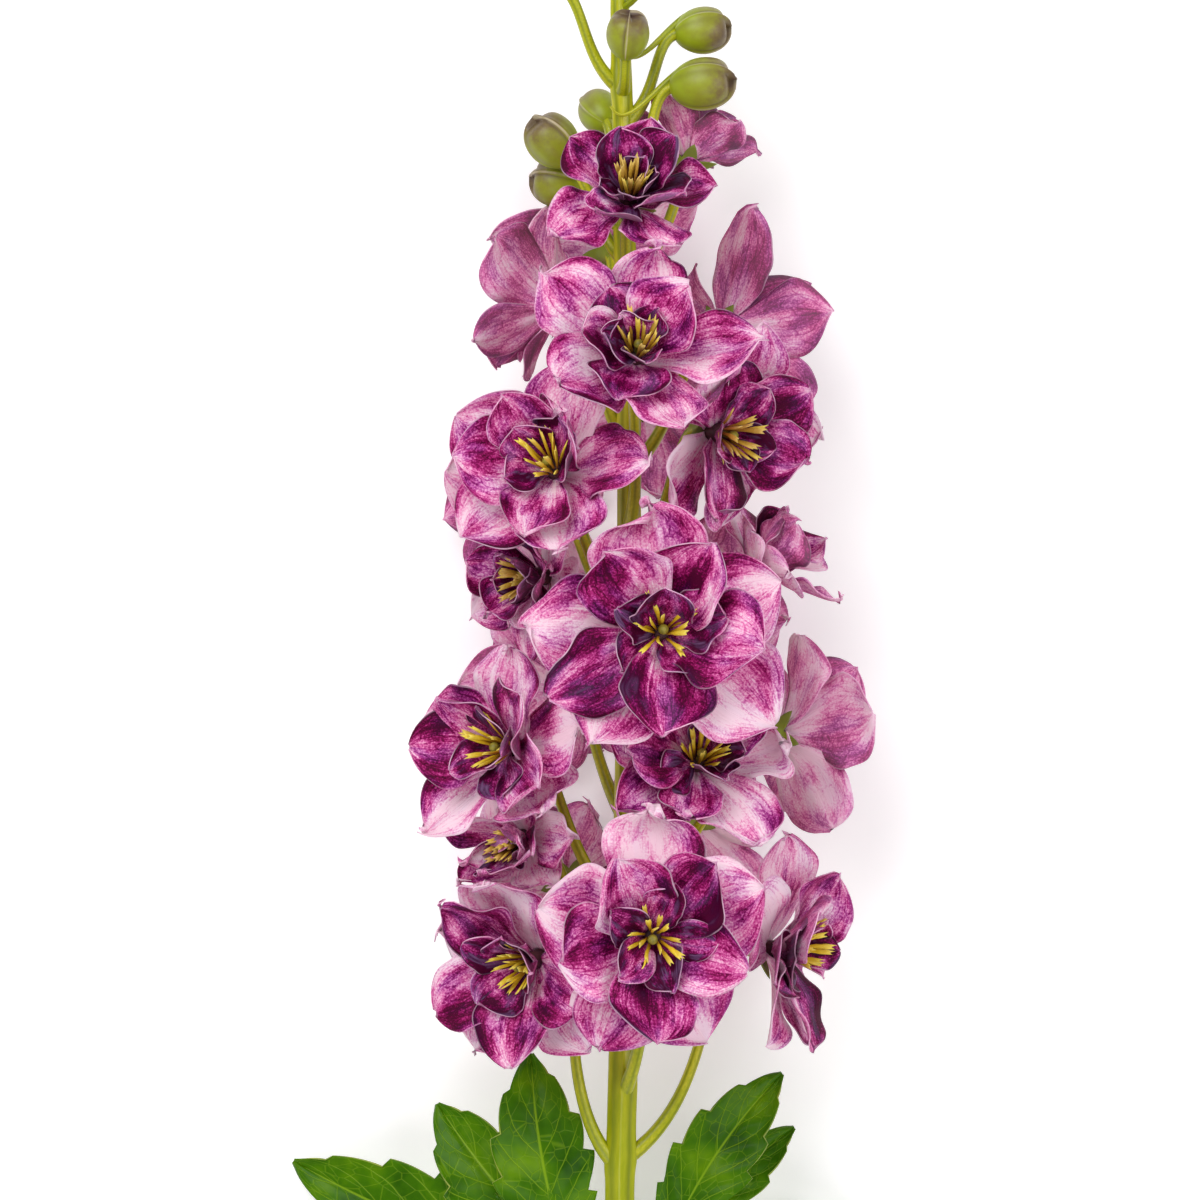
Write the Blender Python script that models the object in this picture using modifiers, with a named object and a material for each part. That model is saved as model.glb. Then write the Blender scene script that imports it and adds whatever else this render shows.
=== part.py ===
"""Delphinium flower spike, cut and lying on a table.

The spike lies along +Y with its tip at +Y, and its fullest side faces up, +Z. The origin is on the table, under
the middle of the spike. Sizes are in millimetres and become metres where a mesh is made.

A floret has two nodes: its petals, grown from one small receptacle, and its stamens. The stem, the flower stalks
with their green calyces, and the small tip buds are one green body. Larger buds and the leaves are nodes too.
Neighbouring florets are parted by slanted walls, and a petal that grows up to a wall turns and runs along it, so
crowded petals press against each other and against the table without crossing.
"""

from math import cos, pi, radians, sin
from typing import NamedTuple

import bmesh
import bpy
import numpy as np
from mathutils import Matrix, Vector

MM = 0.001

# Driving sizes, in millimetres.
SPIKE_LENGTH = 480.0
STEM_X = 9.5  # the stem lies right of the middle, because the left leaf reaches further out
STEM_HEIGHT = 39.5  # the stem's axis over the table, where the florets carry it
STEM_RADIUS = 3.6
TIP_RADIUS = 1.0
CUT_END_RISE = 150.0  # the length over which the stem climbs from its cut end to the florets
STEM_SIDES = 6
STEM_SEAT = STEM_RADIUS * cos(pi / STEM_SIDES)  # a side of the stem lies flat on the table at the cut end
STALK_RADIUS = 1.15
STALK_ROOM = 1.9  # from a stalk's side to the middle surface of the petals near it
PETAL_THICKNESS = 0.7
PETAL_PRESS = 0.1  # how much of its thickness a petal loses where it is pressed on the table
LAYER = 0.85
LAYERS = (0, 1.0, 0.3, 1.3, 2.1)  # petals of a whorl that press on the same thing lie this many layers from it
WHORL_LAYERS = 2.4
LEAF_THICKNESS = 0.8
FIT_GAP = 0.3
WALL_GAP = 0.75  # from a petal's middle surface to the wall between two florets
WALL_SLANT = 3.2  # how far a wall leans, so that an outer floret spreads over an inner one
WALL_SOFTNESS = 5.0  # a petal starts to turn this far before a wall
TABLE_SOFTNESS = 0.8

# Places on a floret, along the way it faces, from its heart.
CORE_BACK, CORE_FRONT = -2.8, 3.2
CORE_RADIUS = 1.4
CORE_SIDES = 6
CALYX_FRONT = CORE_BACK - FIT_GAP
CALYX_LENGTH = 6.6
CALYX_RADIUS = 3.2
CALYX_LOBE = 2.6
STALK_REACH = 3.2  # how far into the calyx the stalk goes
STAMEN_BACK = CORE_FRONT + FIT_GAP
STAMEN_DOME = 2.2
STAMEN_PLUG = 1.2
STAMEN_LENGTH = 8.5
STAMENS = 7
STAMEN_BEAD = 3.1  # petals keep this far from these places on the stamens' axis, from the back of the stamens
STAMEN_BEADS = (1.8, 4.0)

PETAL_STEPS = 30

VIOLET = (0.36, 0.06, 0.24)
YELLOW = (0.75, 0.48, 0.05)
STALK_GREEN = (0.38, 0.42, 0.04)
BUD_GREEN = (0.22, 0.26, 0.06)
LEAF_GREEN = (0.05, 0.22, 0.02)


class Floret(NamedTuple):
    """One open flower. x is right of the stem, y above the cut end, rise above the stem's axis.

    It faces round degrees about the stem (0 up, 90 right) and up degrees towards the tip. spread is the radius
    that its outer petals reach, opening scales how far they open, roll turns them, and drop is how far below
    the heart its stalk leaves the stem.
    """

    x: float
    y: float
    rise: float
    round: float
    up: float
    spread: float
    opening: float
    roll: float
    drop: float


FLORETS = (
    Floret(2, 360, 23, 4, 34, 23, 0.88, 20, 32),
    Floret(18, 373, -8, 150, 56, 18, 0.80, 0, 32),
    Floret(-3, 350, -25, 186, 20, 26, 0.95, 10, 34),
    Floret(-17, 334, -6, 240, 14, 26, 0.90, -15, 34),
    Floret(27, 329, -9, 142, 10, 27, 0.92, -10, 36),
    Floret(4, 320, 37, 5, 28, 28, 0.92, 15, 42),
    Floret(6, 313, -27.2, 172, 6, 28, 0.88, 42, 34),
    Floret(24, 302, 19, 38, -8, 28, 0.95, 17, 36),
    Floret(-16, 292, 29, 342, 20, 31, 0.92, 12, 38),
    Floret(-20, 285, -23, 214, 4, 27, 0.95, 0, 34),
    Floret(35, 268, 5, 74, 42, 22, 0.78, 15, 36),
    Floret(-20, 266, 6, 312, -4, 22, 0.88, 38, 36),
    Floret(20, 254, -26.6, 158, 6, 28, 0.95, 50, 34),
    Floret(10, 252, 44, 5, 6, 34, 1.00, -8, 48),
    Floret(-12, 238, -26, 190, 0, 28, 0.95, 20, 34),
    Floret(-27, 223, 18, 322, 2, 29, 0.95, 5, 42),
    Floret(42, 226, -3, 128, 0, 28, 0.95, -10, 42),
    Floret(19, 219, 25, 12, 24, 29, 0.95, 12, 42),
    Floret(18, 204, -27.2, 166, -4, 28, 0.95, 0, 34),
    Floret(-25, 200, 13, 330, -12, 19, 0.85, 5, 36),
    Floret(-14, 188, -26, 200, -6, 28, 0.95, 40, 36),
    Floret(39, 172, 5, 64, 2, 30, 0.95, 0, 54),
    Floret(8, 177, 41, 0, -6, 33, 1.00, 0, 42),
    Floret(-21, 170, 16, 322, -14, 32, 0.95, 0, 54),
)


class Whorl(NamedTuple):
    """One ring of petals. Lengths and widths are shares of the floret's spread; start, middle and tip are the
    angles, in degrees, between the petal and the way the floret faces; layer counts the whorls from outside;
    rows are the cross-sections that a solid petal keeps, small_rows on a small floret and pressed_rows on one
    that faces the table."""

    layer: int
    turn: float
    root_front: float
    root_out: float
    length: float
    width: float
    claw: float
    start: float
    middle: float
    tip: float
    cup: float
    rows: tuple
    small_rows: tuple
    pressed_rows: tuple


OUTER = Whorl(0, 0, -2.0, 2.0, 1.00, 0.79, 3.0, 60, 80, 92, 0.12, (13, 24, 29), (15, 28), (15, 28))
MIDDLE = Whorl(1, 36, 0.1, 2.0, 0.78, 0.52, 2.6, 44, 60, 68, 0.18, (15, 28), (15, 28), (15, 23, 28))
INNER = Whorl(2, 12, 2.2, 2.0, 0.48, 0.22, 2.4, 26, 36, 46, 0.18, (16, 29), (16, 29), (16, 29))
WHORLS = (OUTER, MIDDLE, INNER)
SMALL_SPREAD = 24.0
PETALS = 5  # in a whorl
ROOT_RING = 2.5  # the corners of a whorl's floor
ROOT_SHARE = 0.72  # the share of the floor's edge that the petals' roots take
TURN_DRAW = 4.0  # degrees by which petals turn and lean from the rule, either way
LEAN_DRAW = 8.0
LENGTH_DRAW = 0.10
PETAL_TWIST = 9.0  # degrees, so that each petal's edge lies over its neighbour's
FIRST_SEED = 40


class Bud(NamedTuple):
    """A closed flower: where its middle is, as for a floret, where its far end points, and its size."""

    x: float
    y: float
    rise: float
    round: float
    up: float
    length: float
    width: float
    drop: float


BUDS = (
    Bud(21, 390, 6, 80, 6, 17.5, 14.0, 26),
    Bud(21, 404, -2, 95, 8, 15.0, 12.5, 24),
    Bud(-17, 376, 2, 290, 46, 16.0, 13.5, 22),
    Bud(-16, 366, -8, 265, 10, 14.5, 13.0, 20),
    Bud(2, 402, 12, 10, 62, 13.5, 11.5, 14),
    Bud(-5, 384, -13, 200, 30, 14.0, 11.5, 20),
    Bud(-19, 419, 4, 285, 40, 14.0, 11.5, 30),
)
TIP_BUDS = 8
TIP_BUDS_FROM, TIP_BUDS_TO = 421.0, 476.0
TIP_BUD_LONGEST, TIP_BUD_SHORTEST = 11.0, 4.5
GOLDEN_ANGLE = 137.5


class Lobe(NamedTuple):
    """One lobe of a leaf: the way it heads in degrees (0 up the spike, 90 right), its size, how far it bends
    sideways and how high its tip ends over the table."""

    heading: float
    length: float
    width: float
    bend: float
    tip_height: float


class Leaf(NamedTuple):
    """A leaf: where its stalk leaves the stem, where the lobes meet, and the lobes."""

    name: str
    stalk_y: float
    x: float
    y: float
    z: float
    lobes: tuple


LEAVES = (
    Leaf(
        "leaf_left", 84, -13, 92, 27,
        (Lobe(-71, 75, 28, 10, 4), Lobe(-40, 52, 24, 6, 20), Lobe(-10, 54, 25, 8, 29)),
    ),
    Leaf(
        "leaf_right", 90, 12, 96, 27,
        (Lobe(34, 53, 22, 12, 26), Lobe(48, 44, 17, 8, 17), Lobe(84, 52, 20, -8, 5)),
    ),
)
LEAF_ROWS = 8
TOOTH_DEPTH = 0.16
LEAF_WALL_POINT = (0, 147, 30)  # a wall across the stem parts the leaves from the lowest petals
LEAF_WALL_NORMAL = (0, 0.96, 0.28)


def ease(x):
    """Rises smoothly from 0 to 1 as x does."""
    x = np.clip(x, 0, 1)
    return x * x * (3 - 2 * x)


def unit(v):
    """v at length 1."""
    v = np.asarray(v, float)
    return v / np.linalg.norm(v, axis=-1, keepdims=True)


def stem_point(y):
    """The stem's axis at y above the cut end: it climbs from the table, bows a little right and droops at the
    tip."""
    climb = ease(y / CUT_END_RISE)
    droop = 6.0 * ease((y - 390) / 90)
    bow = 2.4 * sin(pi * min(max((y - 110) / 300, 0), 1))
    return np.array([bow, y, STEM_SEAT + (STEM_HEIGHT - STEM_SEAT) * climb - droop])


def stem_radius(y):
    """The stem narrows slowly among the florets and faster among the buds."""
    among_florets = ease((y - 130) / 260)
    among_buds = ease((y - 390) / 90)
    return STEM_RADIUS - 1.1 * among_florets - (STEM_RADIUS - 1.1 - TIP_RADIUS) * among_buds


def heading(round_stem, up):
    """The direction that faces round_stem degrees about the stem and up degrees towards its tip."""
    a, b = radians(round_stem), radians(up)
    return np.array([sin(a) * cos(b), sin(b), cos(a) * cos(b)])


def heart(flower):
    """The middle of a floret or bud."""
    return stem_point(flower.y) * (0, 1, 1) + (flower.x, 0, flower.rise)


def face(flower):
    """(forward, up, right) of a floret or bud: the way it faces, and two directions across that."""
    forward = heading(flower.round, flower.up)
    up = unit(np.array([0, 1, 0]) - forward * forward[1])
    return forward, up, np.cross(up, forward)


def stalk_path(flower, end, points):
    """A stalk's line from inside the stem to end: it climbs close to the stem, then bends out to its flower."""
    forward = heading(flower.round, flower.up)
    root_y = flower.y - flower.drop
    root = stem_point(root_y)
    out = unit((end - stem_point(end[1])) * (1, 0, 1))
    climb = end + (0, -0.35 * flower.drop, 0) - root
    first = root + 0.4 * climb + out * 4.0
    last = end - forward * 0.3 * flower.drop
    t = np.linspace(0, 1, points)[:, None]
    return (1 - t) ** 3 * root + 3 * t * (1 - t) ** 2 * first + 3 * t**2 * (1 - t) * last + t**3 * end


def calyx_back(floret):
    """Where a floret's stalk ends, inside its calyx."""
    return heart(floret) + face(floret)[0] * (CALYX_FRONT - CALYX_LENGTH + STALK_REACH)


def bud_back(bud):
    """Where a bud's stalk ends, just clear of the bud."""
    return heart(bud) - face(bud)[0] * (bud.length / 2 + FIT_GAP)


def beads():
    """Round places that petals keep clear of, as (centres, radii): along every stalk, and at the buds."""
    centres, radii = [], []
    for flower, end in [(f, calyx_back(f)) for f in FLORETS] + [(b, bud_back(b)) for b in BUDS]:
        path = stalk_path(flower, end, points=14)[:-1]
        centres.extend(path)
        radii.extend([STALK_RADIUS + STALK_ROOM] * len(path))
    for bud in BUDS:
        for share in (-0.2, 0.2):
            centres.append(heart(bud) + face(bud)[0] * share * bud.length)
            radii.append(bud.width / 2 + 1.6)
    for y in np.arange(150, 400, 4.0):
        centres.append(stem_point(y))
        radii.append(stem_radius(y) + 2.4)
    return np.array(centres), np.array(radii)


def with_stamens(clear, floret):
    """The same places and a floret's own stamens, for that floret's petals."""
    centres, radii = clear
    places = [heart(floret) + face(floret)[0] * (STAMEN_BACK + reach) for reach in STAMEN_BEADS]
    return np.vstack([centres, places]), np.append(radii, [STAMEN_BEAD] * len(places))


def middle_of_petals(floret):
    """The point that a floret's petals are spread about."""
    return heart(floret) + face(floret)[0] * 0.22 * floret.spread


def walls(index):
    """The walls round a floret, as (inward normal, offset, softness, faced): one towards each near neighbour,
    one at the leaves, and the table, which some florets face. A wall between two florets leans, so that the
    outer one spreads over the inner one."""
    mine = FLORETS[index]
    here = middle_of_petals(mine)
    found = []
    for other in FLORETS:
        there = middle_of_petals(other)
        apart = there - here
        if other is mine or np.linalg.norm(apart) > 1.25 * (mine.spread + other.spread):
            continue
        meeting = here + apart * mine.spread / (mine.spread + other.spread)
        outward = unit((meeting - stem_point(meeting[1])) * (1, 0, 1))
        normal = -unit(apart + (WALL_SLANT - 1) * (apart @ outward) * outward)
        found.append((normal, normal @ meeting + WALL_GAP, WALL_SOFTNESS, False))
    normal = np.array(LEAF_WALL_NORMAL)
    found.append((normal, normal @ np.array(LEAF_WALL_POINT) + WALL_GAP, WALL_SOFTNESS, False))
    found.append((np.array([0, 0, 1.0]), PETAL_THICKNESS / 2 - PETAL_PRESS, TABLE_SOFTNESS, faces_table(mine)))
    return found


def petal_turns(floret, whorl):
    """The even angles round a floret at which a whorl's petals grow."""
    return radians(floret.roll + whorl.turn) + 2 * pi / PETALS * np.arange(PETALS)


def petal_lines(floret, whorl, draw, across):
    """A whorl's petals before anything presses on them, as points [petal, row, column].

    A petal's midline starts at the receptacle and leans out by an angle that changes along it. Its half width
    is a claw that widens as a power of a sine, its edges rise as the square of the place across, and it twists
    so that one edge lies over the next petal's.
    """
    forward, up, right = face(floret)
    turn = petal_turns(floret, whorl) + np.radians(draw.uniform(-TURN_DRAW, TURN_DRAW, PETALS))
    lean = draw.uniform(-LEAN_DRAW, LEAN_DRAW, PETALS)
    length = floret.spread * whorl.length * (1 + draw.uniform(-LENGTH_DRAW, LENGTH_DRAW, PETALS))
    u = np.linspace(0, 1, PETAL_STEPS + 1)
    angle = whorl.start + (whorl.middle - whorl.start) * ease(u / 0.4)
    angle = angle + (whorl.tip - whorl.middle) * ease((u - 0.4) / 0.6)
    angle = np.radians(angle * floret.opening + lean[:, None])[..., None]
    ray = np.cos(turn)[:, None] * up + np.sin(turn)[:, None] * right
    side = np.cos(turn)[:, None] * right - np.sin(turn)[:, None] * up
    ray, side = ray[:, None], side[:, None]
    along = np.cos(angle) * forward + np.sin(angle) * ray
    front = np.sin(angle) * forward - np.cos(angle) * ray
    strides = (along[:, 1:] + along[:, :-1]) / 2 * (length / PETAL_STEPS)[:, None, None]
    midline = np.concatenate([np.zeros((PETALS, 1, 3)), np.cumsum(strides, axis=1)], axis=1)
    midline = midline + heart(floret) + forward * whorl.root_front + ray * whorl.root_out
    half = floret.spread * whorl.width / 2 * np.sin(pi * u**1.6) ** 0.6 + whorl.claw / 2 * (1 - u) ** 2
    twist = np.radians(PETAL_TWIST * floret.opening * ease(u * 2))[None, :, None]
    tilted_side = np.cos(twist) * side + np.sin(twist) * front
    tilted_front = np.cos(twist) * front - np.sin(twist) * side
    v = np.asarray(across, float)[:, None]
    width = half[None, :, None, None]
    rise = width * whorl.cup * v**2
    return midline[:, :, None] + tilted_side[:, :, None] * width * v + tilted_front[:, :, None] * rise


def settle(lines, found, clear, layer):
    """Grows petals row by row from their roots. A step that nears a wall loses the part of it that points at
    the wall and keeps its length, so the petal turns along the wall; a point inside a bead is pushed out. The
    petals of a floret stop a layer apart, the inner whorl first where the floret faces the wall."""
    centres, radii = clear
    held = []
    for normal, offset, softness, faced in found:
        order = max(1 - layer, 0) if faced else layer
        lift = LAYER * (WHORL_LAYERS * order + np.array(LAYERS))[:, None]
        held.append((normal, offset + lift, softness))
    grown = lines.copy()
    for row in range(1, lines.shape[1]):
        here = grown[:, row - 1]
        step = lines[:, row] - lines[:, row - 1]
        whole = np.linalg.norm(step, axis=-1, keepdims=True)
        for normal, limit, softness in held:
            near = ease(1 - (here @ normal - limit) / softness)
            step = step - (near * np.minimum(step @ normal, 0))[..., None] * normal
        kept = np.linalg.norm(step, axis=-1, keepdims=True)
        step = step * np.clip(whole / np.maximum(kept, 1e-9), 1, 1.8)
        there = here + step
        away = there[:, :, None] - centres
        distance = np.linalg.norm(away, axis=-1)
        depth = np.maximum(radii - distance, 0)
        there = there + (away / distance[..., None] * depth[..., None]).sum(axis=2) * 0.7
        for normal, limit, _ in held:
            there = there + np.maximum(limit - there @ normal, 0)[..., None] * normal
        grown[:, row] = there
    return grown


def new_object(name, mesh, collection, material=None):
    """An object for this mesh, shaded smooth across gentle angles."""
    made = bpy.data.objects.new(name, mesh)
    collection.objects.link(made)
    if material:
        mesh.materials.clear()
        mesh.materials.append(material)
        mesh.shade_smooth()
        mesh.set_sharp_from_angle(angle=radians(40))
    return made


def mesh_from(form, name):
    """Turns a bmesh in millimetres round the stem into a mesh in metres round the origin."""
    form.transform(Matrix.Scale(MM, 4) @ Matrix.Translation((STEM_X, -SPIKE_LENGTH / 2, 0)))
    mesh = bpy.data.meshes.new(name)
    form.to_mesh(mesh)
    form.free()
    return mesh


def pose_matrix(place, forward, up, right):
    """Turns local x to right, y to up and z to forward, and moves the origin to place."""
    turned = Matrix([right, up, forward]).transposed().to_4x4()
    return Matrix.Translation(place) @ turned


def cone(name, sides, radii, ends, placed, collection, star=0.0):
    """A cone or a tapered plug between two places on its local z. star pulls every other point of its front
    ring outwards, which makes lobes. A radius of 0 makes a point."""
    form = bmesh.new()
    tall = ends[1] - ends[0]
    middle = Matrix.Translation((0, 0, (ends[0] + ends[1]) / 2))
    bmesh.ops.create_cone(
        form, cap_ends=True, segments=sides, radius1=radii[0], radius2=radii[1], depth=tall, matrix=middle
    )
    if star:
        front = sorted((v for v in form.verts if v.co.z > middle.translation.z), key=ring_angle)
        for point in front[::2]:
            flat = Vector((point.co.x, point.co.y, 0)).normalized()
            point.co += flat * star - Vector((0, 0, star * 0.3))
    form.transform(placed)
    return new_object(name, mesh_from(form, name), collection)


def ring_angle(point):
    """A point's angle about local z."""
    return np.arctan2(point.co.y, point.co.x)


def strip(form, lower, upper):
    """Triangles between two rows of a sheet, which have two or three points, or one at a tip."""
    if len(lower) == len(upper) == 3:
        corners = [(0, 1, 4), (0, 4, 3), (1, 2, 5), (1, 5, 4)]
    elif len(upper) == 3:
        corners = [(0, 3, 2), (0, 1, 3), (1, 4, 3)]
    elif len(upper) == 2:
        corners = [(0, 1, 3), (1, 4, 3), (1, 2, 4)]
    else:
        corners = [(0, 1, 3), (1, 2, 3)]
    points = [*lower, *upper]
    for triangle in corners:
        form.faces.new([points[corner] for corner in triangle])


def blade(form, first, points, rows):
    """Adds a blade to form: it starts at the two points first and goes through rows of points, whose last row
    is two points wide."""
    lower = first
    for row in rows:
        columns = (0, 2) if row == rows[-1] else (0, 1, 2)
        upper = [form.verts.new(points[row, column]) for column in columns]
        strip(form, lower, upper)
        lower = upper


def thickened(name, form, thickness, collection):
    """A sheet given its thickness, half on each side, and flattened where it would go through the table."""
    flat = new_object(name, mesh_from(form, name), collection)
    shell = flat.modifiers.new("thickness", "SOLIDIFY")
    shell.thickness = thickness * MM
    shell.offset = 0
    mesh = evaluated_mesh(flat)
    bpy.data.objects.remove(flat)
    for point in mesh.vertices:
        point.co.z = max(point.co.z, 0)
    return new_object(name, mesh, collection)


def evaluated_mesh(made):
    """A new mesh of this object as its modifiers leave it."""
    bpy.context.view_layer.update()
    return bpy.data.meshes.new_from_object(made.evaluated_get(bpy.context.evaluated_depsgraph_get()))


def fused(name, trunk, branches, material, collection, solver="EXACT"):
    """Joins every object in branches to trunk by one union, applies it and removes them."""
    union = trunk.modifiers.new("union", "BOOLEAN")
    union.operation = "UNION"
    union.operand_type = "COLLECTION"
    union.collection = branches
    union.solver = solver
    union.use_self = True
    mesh = evaluated_mesh(trunk)
    split_faces(mesh)
    for used in (*branches.objects, trunk):
        bpy.data.objects.remove(used)
    bpy.data.collections.remove(branches)
    return new_object(name, mesh, collection, material)


def split_faces(mesh):
    """Splits every face into triangles. Where two faces get the same diagonal, one of them gets a point in the
    middle of it, so that no edge has more than two faces."""
    form = bmesh.new()
    form.from_mesh(mesh)
    whole = form.faces.layers.int.new("whole")
    for number, one in enumerate(form.faces):
        one[whole] = number
    bmesh.ops.triangulate(form, faces=form.faces[:])
    for edge in [one for one in form.edges if len(one.link_faces) > 2]:
        numbers = [one[whole] for one in edge.link_faces]
        sides = [one for one in edge.link_faces if one[whole] == max(numbers, key=numbers.count)]
        middle = form.verts.new((edge.verts[0].co + edge.verts[1].co) / 2)
        for side in sides:
            for end in edge.verts:
                form.faces.new([middle if corner == end else corner for corner in side.verts])
        bmesh.ops.delete(form, geom=sides, context="FACES_ONLY")
    form.to_mesh(mesh)
    form.free()


def workshop(name):
    """A collection for pieces that are about to be joined."""
    made = bpy.data.collections.new(name)
    bpy.context.scene.collection.children.link(made)
    return made


def faces_table(floret):
    """Whether a floret faces down; then its solid keeps its two large whorls."""
    return cos(radians(floret.round)) < -0.6


def whorl_form(floret, whorl, petals):
    """A whorl as one sheet: a ten-cornered floor, and a petal on every other side of it."""
    forward, up, right = face(floret)
    form = bmesh.new()
    rows = whorl.small_rows if floret.spread < SMALL_SPREAD else whorl.rows
    if faces_table(floret):
        rows = whorl.pressed_rows
    centre = heart(floret) + forward * whorl.root_front
    half_root = ROOT_SHARE * pi / PETALS
    ring = []
    for turn in petal_turns(floret, whorl):
        for corner in (turn - half_root, turn + half_root):
            ring.append(form.verts.new(centre + ROOT_RING * (cos(corner) * up + sin(corner) * right)))
    form.faces.new(ring[::-1])
    for number, petal in enumerate(petals):
        blade(form, ring[2 * number : 2 * number + 2], petal, rows)
    return form


def make_petals(index, name, clear, material, collection):
    """A floret's petals: its whorls, one inside another, on one receptacle."""
    floret = FLORETS[index]
    draw = np.random.default_rng(FIRST_SEED + index)
    found = walls(index)
    clear = with_stamens(clear, floret)
    pieces = workshop(name + "_pieces")
    for whorl in WHORLS[:2] if faces_table(floret) else WHORLS:
        grown = settle(petal_lines(floret, whorl, draw, (-1, 0, 1)), found, clear, whorl.layer)
        thickened(name + "_whorl", whorl_form(floret, whorl, grown), PETAL_THICKNESS, pieces)
    placed = pose_matrix(heart(floret), *face(floret))
    ends = (CORE_BACK, CORE_FRONT)
    core = cone(name + "_core", CORE_SIDES, (CORE_RADIUS, CORE_RADIUS), ends, placed, collection)
    return fused(name, core, pieces, material, collection)


def make_stamens(floret, name, material, collection):
    """A floret's stamens: a low plug whose top is drawn out into slim spikes that lean outwards."""
    size = (floret.spread / 34) ** 1.3
    form = bmesh.new()
    middle = Matrix.Translation((0, 0, STAMEN_BACK + STAMEN_PLUG / 2))
    bmesh.ops.create_cone(
        form, cap_ends=True, segments=STAMENS, radius1=1.3, radius2=STAMEN_DOME, depth=STAMEN_PLUG, matrix=middle
    )
    top = max(form.faces, key=lambda one: one.calc_center_median().z)
    sectors = bmesh.ops.poke(form, faces=[top], offset=0.5)["faces"]
    bmesh.ops.poke(form, faces=sectors, offset=STAMEN_LENGTH * size)
    form.transform(pose_matrix(heart(floret), *face(floret)))
    mesh = mesh_from(form, name)
    split_faces(mesh)
    return new_object(name, mesh, collection, material)


def tube(name, path, radii, sides, collection):
    """A solid rod along path, as a bevelled curve turned into a closed mesh."""
    line = bpy.data.curves.new(name, "CURVE")
    line.dimensions = "3D"
    line.bevel_depth = MM
    line.bevel_resolution = (sides - 4) // 2
    line.use_fill_caps = True
    spline = line.splines.new("POLY")
    spline.points.add(len(path) - 1)
    for point, place, radius in zip(spline.points, path, radii):
        point.co = (*((place + (STEM_X, -SPIKE_LENGTH / 2, 0)) * MM), 1)
        point.radius = radius
    curve = bpy.data.objects.new(name, line)
    collection.objects.link(curve)
    mesh = evaluated_mesh(curve)
    bpy.data.objects.remove(curve)
    form = bmesh.new()
    form.from_mesh(mesh)
    bmesh.ops.remove_doubles(form, verts=form.verts, dist=0.01 * MM)
    bmesh.ops.triangulate(form, faces=form.faces[:])
    bmesh.ops.recalc_face_normals(form, faces=form.faces[:])
    form.to_mesh(mesh)
    form.free()
    return new_object(name, mesh, collection)


def ribbed_ball(name, flower, size, detail, collection):
    """A closed bud: a ball, narrower behind, with a seam between each two of its five folded sepals."""
    rings, segments = detail
    form = bmesh.new()
    bmesh.ops.create_uvsphere(form, u_segments=segments, v_segments=rings, radius=0.5)
    for point in form.verts:
        x, y, z = point.co
        rib = 1 + 0.06 * cos(5 * np.arctan2(y, x))
        waist = 1 + 0.22 * z
        point.co = Vector((x * rib * waist * size[1], y * rib * waist * size[1], z * size[0]))
    form.transform(pose_matrix(heart(flower), *face(flower)))
    return new_object(name, mesh_from(form, name), collection)


def tip_buds():
    """The smallest buds: they stand round the tip by the golden angle, smaller towards its end."""
    found = []
    for number in range(TIP_BUDS):
        share = number / (TIP_BUDS - 1)
        y = TIP_BUDS_FROM + (TIP_BUDS_TO - TIP_BUDS_FROM) * share
        turn = 40 + GOLDEN_ANGLE * number
        length = TIP_BUD_LONGEST + (TIP_BUD_SHORTEST - TIP_BUD_LONGEST) * share
        reach = 1.25 * length * (1 - 0.75 * share) + 1.0
        x, rise = reach * sin(radians(turn)), reach * cos(radians(turn))
        found.append(Bud(x, y, rise, turn, 50 + 35 * share, length, length * 0.75, 12 - 8 * share))
    return found


def make_stem(material, collection):
    """The stem with its flower stalks, calyces and tip buds, joined as they grew."""
    pieces = workshop("stem_pieces")
    for number, floret in enumerate(FLORETS):
        label = f"stalk_{number + 1:02d}"
        path = stalk_path(floret, calyx_back(floret), points=5)
        radii = np.linspace(STALK_RADIUS + 0.4, STALK_RADIUS, len(path))
        tube(label, path, radii, 4, pieces)
        placed = pose_matrix(heart(floret), *face(floret))
        ends = (CALYX_FRONT - CALYX_LENGTH, CALYX_FRONT)
        cone(label + "_calyx", 10, (0, CALYX_RADIUS), ends, placed, pieces, star=CALYX_LOBE)
    for bud in BUDS:
        path = stalk_path(bud, bud_back(bud), points=5)
        tube("bud_stalk", path, np.linspace(STALK_RADIUS, 0.8, len(path)), 4, pieces)
    for bud in tip_buds():
        path = stalk_path(bud, heart(bud), points=4)
        tube("tip_stalk", path, [0.8] * len(path), 4, pieces)
        ribbed_ball("tip_bud", bud, (bud.length, bud.width), (4, 6), pieces)
    places = [*np.linspace(0, 400, 11), 440, SPIKE_LENGTH]
    path = np.array([stem_point(y) for y in places])
    trunk = tube("stem_rod", path, [stem_radius(y) for y in places], STEM_SIDES, collection)
    return fused("stem", trunk, pieces, material, collection)


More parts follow.
